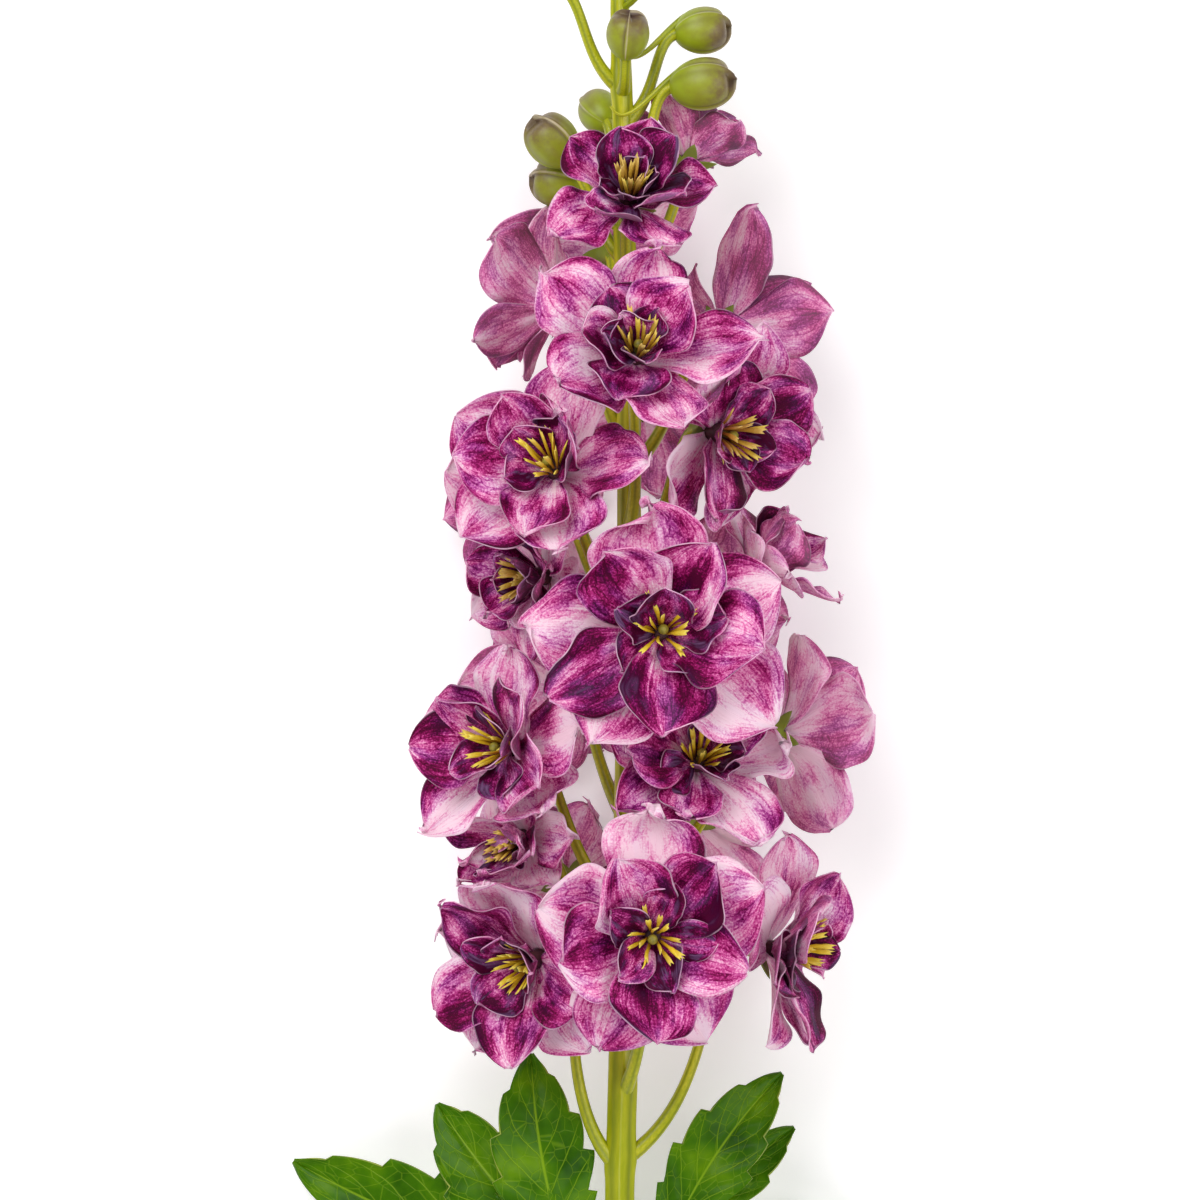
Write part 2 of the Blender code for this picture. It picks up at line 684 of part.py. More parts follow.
def lobe_points(leaf, lobe):
    """A lobe's points [row, column]: its midrib bends sideways and sinks to its tip's height, its half width
    is a power of a sine with teeth that point forwards, and its sides rise from the midrib."""
    u = np.linspace(0, 1, LEAF_ROWS + 1)
    turn = np.radians(lobe.heading + lobe.bend * (u - 0.5) * 2)
    stride = lobe.length / LEAF_ROWS
    x = leaf.x + np.concatenate([[0], np.cumsum(np.sin(turn[:-1]))]) * stride
    y = leaf.y + np.concatenate([[0], np.cumsum(np.cos(turn[:-1]))]) * stride
    z = leaf.z + (lobe.tip_height - leaf.z) * ease(u) + 5.0 * np.sin(pi * u)
    tooth = 1 - TOOTH_DEPTH * (np.arange(LEAF_ROWS + 1) % 2)
    half = lobe.width / 2 * np.sin(pi * np.clip(u, 0.04, 0.97) ** 0.9) ** 0.75 * tooth
    middle = np.stack([x, y, z], axis=1)
    side = np.stack([np.cos(turn), -np.sin(turn), 0 * turn], axis=1)
    edge = [middle + side * half[:, None] * v + np.array([0, 0, 0.22]) * half[:, None] for v in (-1, 1)]
    return np.stack([edge[0], middle, edge[1]], axis=1)


def make_leaf(leaf, material, collection):
    """A leaf: toothed lobes joined where they meet, on a stalk that stops just clear of the stem."""
    pieces = workshop(leaf.name + "_pieces")
    for lobe in leaf.lobes:
        points = lobe_points(leaf, lobe)
        form = bmesh.new()
        blade(form, [form.verts.new(points[0, column]) for column in (0, 2)], points, range(1, LEAF_ROWS + 1))
        thickened(leaf.name + "_lobe", form, LEAF_THICKNESS, pieces)
    meet = np.array([leaf.x, leaf.y, leaf.z])
    root = stem_point(leaf.stalk_y)
    toward = unit((meet - root) * (1, 0, 1))
    start = root + toward * (STEM_RADIUS + FIT_GAP + 0.9)
    inner = meet + unit(meet - start) * 4.0
    path = np.linspace(start, inner, 4)
    stalk = tube(leaf.name + "_stalk", path, [1.5, 1.5, 1.5, 1.1], 6, collection)
    return fused(leaf.name, stalk, pieces, material, collection)


def finish(name, colour, roughness):
    """A material of one colour."""
    made = bpy.data.materials.new(name)
    made.use_nodes = True
    shader = made.node_tree.nodes["Principled BSDF"]
    shader.inputs["Base Color"].default_value = (*colour, 1)
    shader.inputs["Roughness"].default_value = roughness
    shader.inputs["Metallic"].default_value = 0
    return made


def main():
    for old in list(bpy.data.objects):
        bpy.data.objects.remove(old)
    spike = workshop("delphinium_spike")
    violet = finish("petal", VIOLET, 0.55)
    yellow = finish("stamen", YELLOW, 0.5)
    stalk_green = finish("stem", STALK_GREEN, 0.45)
    bud_green = finish("bud", BUD_GREEN, 0.5)
    leaf_green = finish("leaf", LEAF_GREEN, 0.35)
    clear = beads()
    make_stem(stalk_green, spike)
    for index, floret in enumerate(FLORETS):
        label = f"floret_{index + 1:02d}"
        make_petals(index, label + "_petals", clear, violet, spike)
        make_stamens(floret, label + "_stamens", yellow, spike)
    for number, bud in enumerate(BUDS):
        made = ribbed_ball(f"bud_{number + 1:02d}", bud, (bud.length, bud.width), (5, 10), spike)
        made.data.materials.append(bud_green)
    for leaf in LEAVES:
        make_leaf(leaf, leaf_green, spike)


main()
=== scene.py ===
"""The looks of a cut delphinium spike that lies on a pale table, seen from above.

Lengths in the functions are millimetres, measured from the middle of the stem's cut end: x to the right, y
along the stem to its tip and z up from the table. Piece.make shifts them to the model's own frame and turns
them into metres. Petals grow by the same rule as the solid ones, in more rows and columns.
"""

from math import cos, pi, radians, sin
from typing import NamedTuple

import bmesh
import bpy
import numpy as np
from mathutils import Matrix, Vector


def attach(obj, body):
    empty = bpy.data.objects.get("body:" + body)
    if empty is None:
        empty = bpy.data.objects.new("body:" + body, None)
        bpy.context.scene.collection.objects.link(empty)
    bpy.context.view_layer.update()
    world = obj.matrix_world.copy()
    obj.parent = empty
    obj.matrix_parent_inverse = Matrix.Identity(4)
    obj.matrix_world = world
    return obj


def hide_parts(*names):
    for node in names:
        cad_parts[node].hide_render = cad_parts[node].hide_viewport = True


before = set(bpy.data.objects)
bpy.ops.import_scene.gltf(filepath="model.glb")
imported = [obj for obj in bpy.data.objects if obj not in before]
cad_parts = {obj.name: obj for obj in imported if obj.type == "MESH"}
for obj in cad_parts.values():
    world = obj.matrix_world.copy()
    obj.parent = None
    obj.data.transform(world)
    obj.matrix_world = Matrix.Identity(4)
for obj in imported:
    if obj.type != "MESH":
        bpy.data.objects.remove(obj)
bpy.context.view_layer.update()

MM = 0.001
MERGE_WITHIN = 2e-6  # metres

# The spike, as in the solid model.
SPIKE_LENGTH = 480.0
STEM_X = 9.5
STEM_HEIGHT = 39.5
STEM_RADIUS = 3.6
TIP_RADIUS = 1.0
CUT_END_RISE = 150.0
STEM_SIDES = 6
STEM_SEAT = STEM_RADIUS * cos(pi / STEM_SIDES)
STEM_BOW, STEM_BOW_FROM, STEM_BOW_LENGTH = 2.4, 110, 300
STEM_DROOP = 6.0
STEM_THINNING, FLORETS_FROM, BUDS_FROM = 1.1, 130, 390
STALK_RADIUS = 1.15
STALK_ROOM, BUD_ROOM, STEM_ROOM = 1.9, 1.6, 2.4  # that petals keep clear of
PETAL_THICKNESS = 0.7
PETAL_PRESS = 0.1
LAYER = 0.85
LAYERS = (0, 1.0, 0.3, 1.3, 2.1)
WHORL_LAYERS = 2.4
FIT_GAP = 0.3
NEIGHBOURS_WITHIN = 1.25  # of the sum of two florets' spreads
WALL_GAP = 0.75
WALL_SLANT = 3.2
WALL_SOFTNESS = 5.0
TABLE_SOFTNESS = 0.8
CORE_BACK, CORE_FRONT = -2.8, 3.2
CALYX_FRONT = CORE_BACK - FIT_GAP
CALYX_LENGTH = 6.6
CALYX_RADIUS = 3.2
STALK_REACH = 3.2
STAMEN_BACK = CORE_FRONT + FIT_GAP
STAMEN_BEAD = 3.1
STAMEN_BEADS = (1.8, 4.0)
PETAL_STEPS = 30
PETALS = 5
TURN_DRAW = 4.0
LEAN_DRAW = 8.0
LENGTH_DRAW = 0.10
PETAL_TWIST = 9.0
FIRST_SEED = 40  # of the solid petals' draws

# The finer surfaces. Three values in brackets are for the outer, middle and inner whorl.
FIRST_FINE_SEED, FIRST_STAMEN_SEED = 540, 940
PETAL_SHEET = 0.28
LEAF_SHEET = 0.45
RUFFLE = 0.050  # of a petal's length
TIP_LEAN = (0, 10, 12)  # degrees that a whorl's petals lean towards the spike's tip
LEAST_ANGLE = (30, 24, 18)  # degrees that a whorl's petals lean out at the least
CLOSING = (1, 3.6, 5)  # how strongly a less open floret's whorl closes: a power of its opening
BLUNT, POINTED = 0.54, (0.98, 0.80, 0.78)  # powers that shape a petal's outline
FEWER, FULL_SPREAD = (0, 1, 1), 33  # petals left out where a floret spreads less
PETAL_ROWS = np.concatenate([np.arange(0, 27), [27.6, 28.5, 29.3, 29.85]])  # of PETAL_STEPS, closer at the tip
NOTCH = 0.035  # of a petal's half width
CREASE = 0.40  # depth of the line along a petal's middle
FOLDS = 0.16  # height of its lengthwise folds
DARKER = (0.10, 300, 40), (0.14, 345, 20)  # by how much, from which height on the stem, within what length
STAMENS = 15
STAMENS_UP = 6.0  # degrees that stamens lean towards the spike's tip
STAMENS_LEAN = 3, 34  # degrees: the innermost, and how much more the outermost lean out
STAMENS_REACH = 9.4, 13.2
STAMENS_BEND = -0.30, 0.28  # radians at their ends
STAMENS_SPREAD = 34  # of a floret whose stamens have their full reach
TOP = 100.0  # petals above this are pressed down by half of what they stand over it

# The picture, in metres: the camera's height, the petals' height that it is framed at, and its width there.
CAMERA_PLACE = (0.0045, 0.020, 2.2)
FRAMED_HEIGHT = 0.06
FRAMED_WIDTH = 0.300
SENSOR = 36  # millimetres
TABLE_HALF, TABLE_GAP = 3, 0.0002
LAMPS = (  # name, place, size in metres, watts
    ("soft key", (-0.6, 0.8, 1.3), 1.1, 17.5),
    ("soft fill", (1.0, 0.1, 1.2), 1.1, 9.5),
    ("soft front", (-0.2, -1.0, 1.1), 1.0, 6),
)
LAMPS_AIM = (0.0, 0.02, 0.05)


class Floret(NamedTuple):
    """One open flower: its heart's place, the way it faces, the reach of its petals, how far they open and
    turn, and how far below it its stalk leaves the stem."""

    x: float
    y: float
    rise: float
    round: float
    up: float
    spread: float
    opening: float
    roll: float
    drop: float


FLORETS = (
    Floret(2, 360, 23, 4, 34, 23, 0.88, 20, 32),
    Floret(18, 373, -8, 150, 56, 18, 0.80, 0, 32),
    Floret(-3, 350, -25, 186, 20, 26, 0.95, 10, 34),
    Floret(-17, 334, -6, 240, 14, 26, 0.90, -15, 34),
    Floret(27, 329, -9, 142, 10, 27, 0.92, -10, 36),
    Floret(4, 320, 37, 5, 28, 28, 0.92, 15, 42),
    Floret(6, 313, -27.2, 172, 6, 28, 0.88, 42, 34),
    Floret(24, 302, 19, 38, -8, 28, 0.95, 17, 36),
    Floret(-16, 292, 29, 342, 20, 31, 0.92, 12, 38),
    Floret(-20, 285, -23, 214, 4, 27, 0.95, 0, 34),
    Floret(35, 268, 5, 74, 42, 22, 0.78, 15, 36),
    Floret(-20, 266, 6, 312, -4, 22, 0.88, 38, 36),
    Floret(20, 254, -26.6, 158, 6, 28, 0.95, 50, 34),
    Floret(10, 252, 44, 5, 6, 34, 1.00, -8, 48),
    Floret(-12, 238, -26, 190, 0, 28, 0.95, 20, 34),
    Floret(-27, 223, 18, 322, 2, 29, 0.95, 5, 42),
    Floret(42, 226, -3, 128, 0, 28, 0.95, -10, 42),
    Floret(19, 219, 25, 12, 24, 29, 0.95, 12, 42),
    Floret(18, 204, -27.2, 166, -4, 28, 0.95, 0, 34),
    Floret(-25, 200, 13, 330, -12, 19, 0.85, 5, 36),
    Floret(-14, 188, -26, 200, -6, 28, 0.95, 40, 36),
    Floret(39, 172, 5, 64, 2, 30, 0.95, 0, 54),
    Floret(8, 177, 41, 0, -6, 33, 1.00, 0, 42),
    Floret(-21, 170, 16, 322, -14, 32, 0.95, 0, 54),
)


class Whorl(NamedTuple):
    """One ring of petals, from outside to inside. width is the share of the spread that a petal takes, tone is
    how dark its pattern is, and vary is how far its petals differ from each other."""

    layer: int
    turn: float
    root_front: float
    root_out: float
    length: float
    width: float
    claw: float
    start: float
    middle: float
    tip: float
    cup: float
    columns: int
    tone: float
    vary: float


WHORLS = (
    Whorl(0, 0, -2.0, 2.0, 1.00, 0.78, 3.0, 60, 80, 92, 0.14, 13, 0.24, 1.0),
    Whorl(1, 36, 0.1, 2.0, 0.80, 0.68, 2.6, 46, 64, 74, 0.30, 13, 0.50, 1.2),
    Whorl(2, 12, 2.2, 2.0, 0.48, 0.40, 2.4, 37, 51, 62, 0.36, 11, 0.72, 1.4),
)


class Bud(NamedTuple):
    """A closed flower: its middle, the way its far end points, and its size."""

    x: float
    y: float
    rise: float
    round: float
    up: float
    length: float
    width: float
    drop: float


BUDS = (
    Bud(21, 390, 6, 80, 6, 17.5, 14.0, 26),
    Bud(21, 404, -2, 95, 8, 15.0, 12.5, 24),
    Bud(-17, 376, 2, 290, 46, 16.0, 13.5, 22),
    Bud(-16, 366, -8, 265, 10, 14.5, 13.0, 20),
    Bud(2, 402, 12, 10, 62, 13.5, 11.5, 14),
    Bud(-5, 384, -13, 200, 30, 14.0, 11.5, 20),
    Bud(-19, 419, 4, 285, 40, 14.0, 11.5, 30),
)
BUD_FOLDS = 3
BUD_FOLD_AT = 0.65  # of a fold's width: where the first one starts
SPURRED = 2  # the first buds, which have a spur
TIP_BUDS = 8
TIP_BUDS_FROM, TIP_BUDS_TO = 421.0, 476.0
TIP_BUD_LONGEST, TIP_BUD_SHORTEST = 11.0, 4.5
GOLDEN_ANGLE = 137.5


class Lobe(NamedTuple):
    """One lobe of a leaf: the way it heads, its size, its sideways bend and the height of its tip."""

    heading: float
    length: float
    width: float
    bend: float
    tip_height: float


class Leaf(NamedTuple):
    """A leaf: where its stalk leaves the stem, where the lobes meet, and the lobes."""

    name: str
    stalk_y: float
    x: float
    y: float
    z: float
    lobes: tuple


LEAVES = (
    Leaf(
        "leaf_left", 84, -13, 92, 27,
        (Lobe(-71, 75, 30, 10, 4), Lobe(-40, 52, 27, 6, 20), Lobe(-10, 54, 27, 8, 29)),
    ),
    Leaf(
        "leaf_right", 90, 12, 96, 27,
        (Lobe(34, 53, 22, 12, 26), Lobe(48, 44, 17, 8, 17), Lobe(84, 52, 20, -8, 5)),
    ),
)
LEAF_WALL_POINT = (0, 147, 30)
LEAF_WALL_NORMAL = (0, 0.96, 0.28)


def ease(x):
    """Rises smoothly from 0 to 1 as x does."""
    x = np.clip(x, 0, 1)
    return x * x * (3 - 2 * x)


def unit(v):
    """v at length 1."""
    v = np.asarray(v, float)
    return v / np.maximum(np.linalg.norm(v, axis=-1, keepdims=True), 1e-12)


def stem_points(y):
    """The stem's axis at heights y: it climbs from the table, bows a little right and droops at the tip."""
    y = np.asarray(y, float)
    climb = ease(y / CUT_END_RISE)
    droop = STEM_DROOP * ease((y - BUDS_FROM) / (SPIKE_LENGTH - BUDS_FROM))
    bow = STEM_BOW * np.sin(pi * np.clip((y - STEM_BOW_FROM) / STEM_BOW_LENGTH, 0, 1))
    return np.stack([bow, y, STEM_SEAT + (STEM_HEIGHT - STEM_SEAT) * climb - droop], axis=-1)


def stem_radius(y):
    """The stem narrows slowly among the florets and faster among the buds."""
    among_florets = ease((y - FLORETS_FROM) / (BUDS_FROM - FLORETS_FROM))
    among_buds = ease((y - BUDS_FROM) / (SPIKE_LENGTH - BUDS_FROM))
    thinner = STEM_RADIUS - STEM_THINNING
    return STEM_RADIUS - STEM_THINNING * among_florets - (thinner - TIP_RADIUS) * among_buds


def heading(round_stem, up):
    """The direction that faces round_stem degrees about the stem and up degrees towards its tip."""
    a, b = radians(round_stem), radians(up)
    return np.array([sin(a) * cos(b), sin(b), cos(a) * cos(b)])


def heart(flower):
    """The middle of a floret or bud."""
    return stem_points(flower.y) * (0, 1, 1) + (flower.x, 0, flower.rise)


def face(flower):
    """(forward, up, right) of a floret or bud: the way it faces, and two directions across that."""
    forward = heading(flower.round, flower.up)
    up = unit(np.array([0, 1, 0]) - forward * forward[1])
    return forward, up, np.cross(up, forward)


def stalk_path(flower, end, points):
    """A stalk's line from inside the stem to end: a cubic that climbs close to the stem, then bends out."""
    forward = heading(flower.round, flower.up)
    root = stem_points(flower.y - flower.drop)
    out = unit((end - stem_points(end[1])) * (1, 0, 1))
    climb = end + (0, -0.35 * flower.drop, 0) - root
    first = root + 0.4 * climb + out * 4.0
    return cubic(root, first, end - forward * 0.3 * flower.drop, end, points)


def cubic(first, second, third, last, points):
    """Places on a cubic curve through first and last, drawn towards second and third."""
    t = np.linspace(0, 1, points)[:, None]
    return (1 - t) ** 3 * first + 3 * t * (1 - t) ** 2 * second + 3 * t**2 * (1 - t) * third + t**3 * last


def calyx_back(floret):
    """Where a floret's stalk ends, inside its calyx."""
    return heart(floret) + face(floret)[0] * (CALYX_FRONT - CALYX_LENGTH + STALK_REACH)


def bud_back(bud):
    """Where a bud's stalk ends."""
    return heart(bud) - face(bud)[0] * (bud.length / 2 + FIT_GAP)


def beads():
    """Round places that petals keep clear of, as (centres, radii): along stalks and stem, and at the buds."""
    centres, radii = [], []
    for flower, end in [(f, calyx_back(f)) for f in FLORETS] + [(b, bud_back(b)) for b in BUDS]:
        path = stalk_path(flower, end, points=14)[:-1]
        centres.extend(path)
        radii.extend([STALK_RADIUS + STALK_ROOM] * len(path))
    for bud in BUDS:
        for share in (-0.2, 0.2):
            centres.append(heart(bud) + face(bud)[0] * share * bud.length)
            radii.append(bud.width / 2 + BUD_ROOM)
    for y in np.arange(150, 400, 4.0):
        centres.append(stem_points(y))
        radii.append(stem_radius(y) + STEM_ROOM)
    return np.array(centres), np.array(radii)


def with_stamens(clear, floret):
    """The same places and a floret's own stamens."""
    centres, radii = clear
    places = [heart(floret) + face(floret)[0] * (STAMEN_BACK + reach) for reach in STAMEN_BEADS]
    return np.vstack([centres, places]), np.append(radii, [STAMEN_BEAD] * len(places))


def middle_of_petals(floret):
    """The point that a floret's petals are spread about."""
    return heart(floret) + face(floret)[0] * 0.22 * floret.spread


def faces_table(floret):
    """Whether a floret faces down."""
    return cos(radians(floret.round)) < -0.6


def walls(index):
    """The walls round a floret, as (inward normal, offset, softness, faced): one towards each near neighbour,
    one at the leaves, and the table. A wall between two florets leans, so that the outer one spreads over the
    inner one."""
    mine = FLORETS[index]
    here = middle_of_petals(mine)
    found = []
    for other in FLORETS:
        there = middle_of_petals(other)
        apart = there - here
        if other is mine or np.linalg.norm(apart) > NEIGHBOURS_WITHIN * (mine.spread + other.spread):
            continue
        meeting = here + apart * mine.spread / (mine.spread + other.spread)
        outward = unit((meeting - stem_points(meeting[1])) * (1, 0, 1))
        normal = -unit(apart + (WALL_SLANT - 1) * (apart @ outward) * outward)
        found.append((normal, normal @ meeting + WALL_GAP, WALL_SOFTNESS, False))
    normal = np.array(LEAF_WALL_NORMAL)
    found.append((normal, normal @ np.array(LEAF_WALL_POINT) + WALL_GAP, WALL_SOFTNESS, False))
    found.append((np.array([0, 0, 1.0]), PETAL_THICKNESS / 2 - PETAL_PRESS, TABLE_SOFTNESS, faces_table(mine)))
    return found


def petal_lines(floret, whorl, draw, fine, across):
    """A whorl's petals before anything presses on them, as points [petal, row, column].

    A petal's midline starts at the receptacle and leans out by an angle that changes along it. Its half width
    is a claw that widens as a power of a sine, its edges rise as the square of the place across, and it twists
    so that one edge lies over the next petal's. Each petal has its own turn, lean, length, width, cup, sideways
    sweep, and tip, from blunt to pointed.
    """
    forward, up, right = face(floret)

    def own(spread):
        return fine.uniform(-spread, spread, PETALS) * whorl.vary

    turn = radians(floret.roll + whorl.turn) + 2 * pi / PETALS * np.arange(PETALS)
    turn = turn + np.radians(draw.uniform(-TURN_DRAW, TURN_DRAW, PETALS) + own(7))
    lean = draw.uniform(-LEAN_DRAW, LEAN_DRAW, PETALS) + own(7)
    length = floret.spread * whorl.length * (1 + draw.uniform(-LENGTH_DRAW, LENGTH_DRAW, PETALS) + own(0.08))
    wide = floret.spread * whorl.width * (1 + own(0.14))
    cup = whorl.cup + own(0.14)
    sweep = own(0.09)
    lean = lean - TIP_LEAN[whorl.layer] * (floret.up > 0) * (not faces_table(floret)) * np.cos(turn)
    tilt = PETAL_TWIST + own(10)
    shape = fine.uniform(BLUNT, POINTED[whorl.layer], PETALS)[:, None]
    widest = fine.uniform(1.25, 1.70, PETALS)[:, None]
    u = np.linspace(0, 1, PETAL_STEPS + 1)
    angle = whorl.start + (whorl.middle - whorl.start) * ease(u / 0.4)
    angle = angle + (whorl.tip - whorl.middle) * ease((u - 0.4) / 0.6)
    angle = angle * floret.opening ** CLOSING[whorl.layer] + lean[:, None]
    angle = np.radians(np.maximum(angle, LEAST_ANGLE[whorl.layer]))[..., None]
    ray = np.cos(turn)[:, None] * up + np.sin(turn)[:, None] * right
    side = np.cos(turn)[:, None] * right - np.sin(turn)[:, None] * up
    ray, side = ray[:, None], side[:, None]
    along = np.cos(angle) * forward + np.sin(angle) * ray
    front = np.sin(angle) * forward - np.cos(angle) * ray
    strides = (along[:, 1:] + along[:, :-1]) / 2 * (length / PETAL_STEPS)[:, None, None]
    midline = np.concatenate([np.zeros((PETALS, 1, 3)), np.cumsum(strides, axis=1)], axis=1)
    midline = midline + side * (sweep * length)[:, None, None] * (u**2)[None, :, None]
    midline = midline + heart(floret) + forward * whorl.root_front + ray * whorl.root_out
    half = wide[:, None] / 2 * np.sin(pi * u**widest) ** shape + whorl.claw / 2 * (1 - u) ** 2
    twist = np.radians(tilt[:, None] * floret.opening * ease(u * 2))[..., None]
    tilted_side = np.cos(twist) * side + np.sin(twist) * front
    tilted_front = np.cos(twist) * front - np.sin(twist) * side
    v = np.asarray(across, float)[:, None]
    beat = fine.uniform(1, 2, (PETALS, 1, 2)) * 2 * pi
    phase = fine.uniform(0, 2 * pi, (PETALS, 1, 2))
    notch = np.sin(beat * u[:, None] + phase) + 0.5 * np.sin(2.3 * beat * u[:, None] + 2 * phase)
    sides = 1 + NOTCH * whorl.vary * notch * ease(u[:, None] / 0.4)
    sides = sides[:, :, :1] * (v[:, 0] < 0) + sides[:, :, 1:] * (v[:, 0] >= 0)
    width = (half[:, :, None] * (1 + (sides - 1) * np.abs(v[:, 0]) ** 3))[..., None]
    rise = width * cup[:, None, None, None] * v**2
    return midline[:, :, None] + tilted_side[:, :, None] * width * v + tilted_front[:, :, None] * rise


def settle(lines, found, clear, layer):
    """Grows petals row by row from their roots. A step that nears a wall loses the part of it that points at
    the wall and keeps its length, so the petal turns along the wall; a point inside a bead is pushed out. The
    petals of a floret stop a layer apart, the inner whorl first where the floret faces the wall."""
    centres, radii = clear
    held = []
    for normal, offset, softness, faced in found:
        order = max(1 - layer, 0) if faced else layer
        lift = LAYER * (WHORL_LAYERS * order + np.array(LAYERS))[:, None]
        held.append((normal, offset + lift, softness))
    grown = lines.copy()
    for row in range(1, lines.shape[1]):
        here = grown[:, row - 1]
        step = lines[:, row] - lines[:, row - 1]
        whole = np.linalg.norm(step, axis=-1, keepdims=True)
        for normal, limit, softness in held:
            near = ease(1 - (here @ normal - limit) / softness)
            step = step - (near * np.minimum(step @ normal, 0))[..., None] * normal
        kept = np.linalg.norm(step, axis=-1, keepdims=True)
        step = step * np.clip(whole / np.maximum(kept, 1e-9), 1, 1.8)
        there = here + step
        away = there[:, :, None] - centres
        distance = np.linalg.norm(away, axis=-1)
        depth = np.maximum(radii - distance, 0)
        there = there + (away / distance[..., None] * depth[..., None]).sum(axis=2) * 0.7
        for normal, limit, _ in held:
            there = there + np.maximum(limit - there @ normal, 0)[..., None] * normal
        grown[:, row] = there
    return grown


def front_of(points):
    """The unit normal at each point of sheets [..., row, column], from the slopes along and across."""
    down = np.gradient(points, axis=-3)
    over = np.gradient(points, axis=-2)
    return unit(np.cross(over, down))


def petal_relief(points, u, v, floret, whorl, fine):
    """Moves petals along their normals: edges wave as a sine along the petal times a power of the place
    across, the midrib is a shallow crease, faint folds run lengthwise, and the tip curls a little."""
    petals = points.shape[0]
    u, v = u[None, :, None], v[None, None, :]
    size = floret.spread * whorl.length
    phase = fine.uniform(0, 2 * pi, (petals, 1, 1))
    beat = fine.uniform(0.9, 2.1, (petals, 1, 1))
    edge = np.abs(v) ** 2 * ease(u / 0.45)
    wave = RUFFLE * size * edge * np.sin(2 * pi * beat * u + phase + 1.3 * np.sign(v))
    wave = wave + 0.012 * size * np.abs(v) ** 4 * ease(u / 0.5) * np.sin(17 * u + 3 * phase + 2 * np.sign(v))
    crease = -CREASE * np.exp(-((v / 0.13) ** 2)) * np.sin(pi * np.clip(u, 0.05, 0.95)) ** 0.5
    folds = FOLDS * (np.cos(8.0 * v + phase) + 0.6 * np.cos(19.0 * v + 2 * phase)) * np.sin(pi * u)
    curl = fine.uniform(-0.05, 0.06, (petals, 1, 1)) * size * ease((u - 0.7) / 0.3) ** 1.5
    return points + front_of(points) * (wave + crease + folds + curl)[..., None]


def smoothed(points):
    """Evens out small kinks: each inner point of a sheet moves halfway to its neighbours' mean, along and then
    across, twice. Roots and edges stay."""
    for _ in range(2):
        points = points.copy()
        points[:, 1:-1] = (points[:, :-2] + 2 * points[:, 1:-1] + points[:, 2:]) / 4
        points[:, :, 1:-1] = (points[:, :, :-2] + 2 * points[:, :, 1:-1] + points[:, :, 2:]) / 4
    return points


class Piece:
    """Collects grids of points for one object. A grid is [row, column] or [sheet, row, column] of places. Its
    UV runs along the rows and across the columns, and tone and seed are kept for each point."""

    def __init__(self):
        self.points, self.faces, self.uvs, self.tones, self.seeds, self.slots = [], [], [], [], [], []
        self.count = 0

    def add(self, grid, closed=False, tone=0.5, seed=0.0, slot=0, rows_at=None, across_at=None, outward=True):
        """Adds sheets. closed joins the last column to the first; rows_at and across_at give each row's and
        column's place from 0 to 1; outward False turns the faces round."""
        grid = grid if grid.ndim == 4 else grid[None]
        sheets, rows, columns = grid.shape[:3]
        row = np.arange(rows - 1)[:, None]
        column = np.arange(columns if closed else columns - 1)[None]
        following = (column + 1) % columns
        corners = [row * columns + column, row * columns + following]
        corners += [(row + 1) * columns + following, (row + 1) * columns + column]
        at = np.linspace(0, 1, rows) if rows_at is None else rows_at
        over_at = np.linspace(0, 1, columns + 1 if closed else columns) if across_at is None else across_at
        low, high = at[row] + 0 * column, at[row + 1] + 0 * column
        near, far = over_at[column] + 0 * row, over_at[column + 1] + 0 * row
        quads = np.stack(corners, axis=-1).reshape(-1, 4)
        places = np.stack([low, low, high, high], axis=-1), np.stack([near, far, far, near], axis=-1)
        uv = np.stack(places, axis=-1).reshape(-1, 4, 2)
        if not outward:
            quads, uv = quads[:, ::-1], uv[:, ::-1]
        starts = self.count + np.arange(sheets)[:, None, None] * rows * columns
        self.points.append(grid.reshape(-1, 3))
        self.faces.append((quads[None] + starts).reshape(-1, 4))
        self.uvs.append(np.tile(uv.reshape(-1, 2), (sheets, 1)))
        one = np.ones((sheets, rows * columns))
        self.tones.append((one * np.reshape(tone, (-1, 1))).ravel())
        self.seeds.append((one * np.reshape(seed, (-1, 1))).ravel())
        self.slots.append(np.full(len(quads) * sheets, slot))
        self.count += sheets * rows * columns

    def make(self, name, materials, node, merge=False, thickness=0.0):
        """The finished object, riding on the root in place of a CAD node."""
        points = (np.concatenate(self.points) + (STEM_X, -SPIKE_LENGTH / 2, 0)) * MM
        faces = np.concatenate(self.faces)
        mesh = bpy.data.meshes.new(name)
        mesh.from_pydata(points.tolist(), [], faces.tolist())
        mesh.uv_layers.new(name="surface").data.foreach_set("uv", np.concatenate(self.uvs).ravel())
        mesh.attributes.new("tone", "FLOAT", "POINT").data.foreach_set("value", np.concatenate(self.tones))
        mesh.attributes.new("seed", "FLOAT", "POINT").data.foreach_set("value", np.concatenate(self.seeds))
        mesh.polygons.foreach_set("material_index", np.concatenate(self.slots))
        mesh.polygons.foreach_set("use_smooth", np.ones(len(faces), bool))
        if merge:
            form = bmesh.new()
            form.from_mesh(mesh)
            bmesh.ops.remove_doubles(form, verts=form.verts, dist=MERGE_WITHIN)
            form.to_mesh(mesh)
            form.free()
        for material in materials:
            mesh.materials.append(material)
        made = bpy.data.objects.new(name, mesh)
        bpy.context.scene.collection.objects.link(made)
        if thickness:
            sheet = made.modifiers.new("thickness", "SOLIDIFY")
            sheet.thickness = thickness * MM
            sheet.offset = 0
            sheet.material_offset = 1
            sheet.material_offset_rim = 2
        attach(made, "root")
        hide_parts(node)
        return made


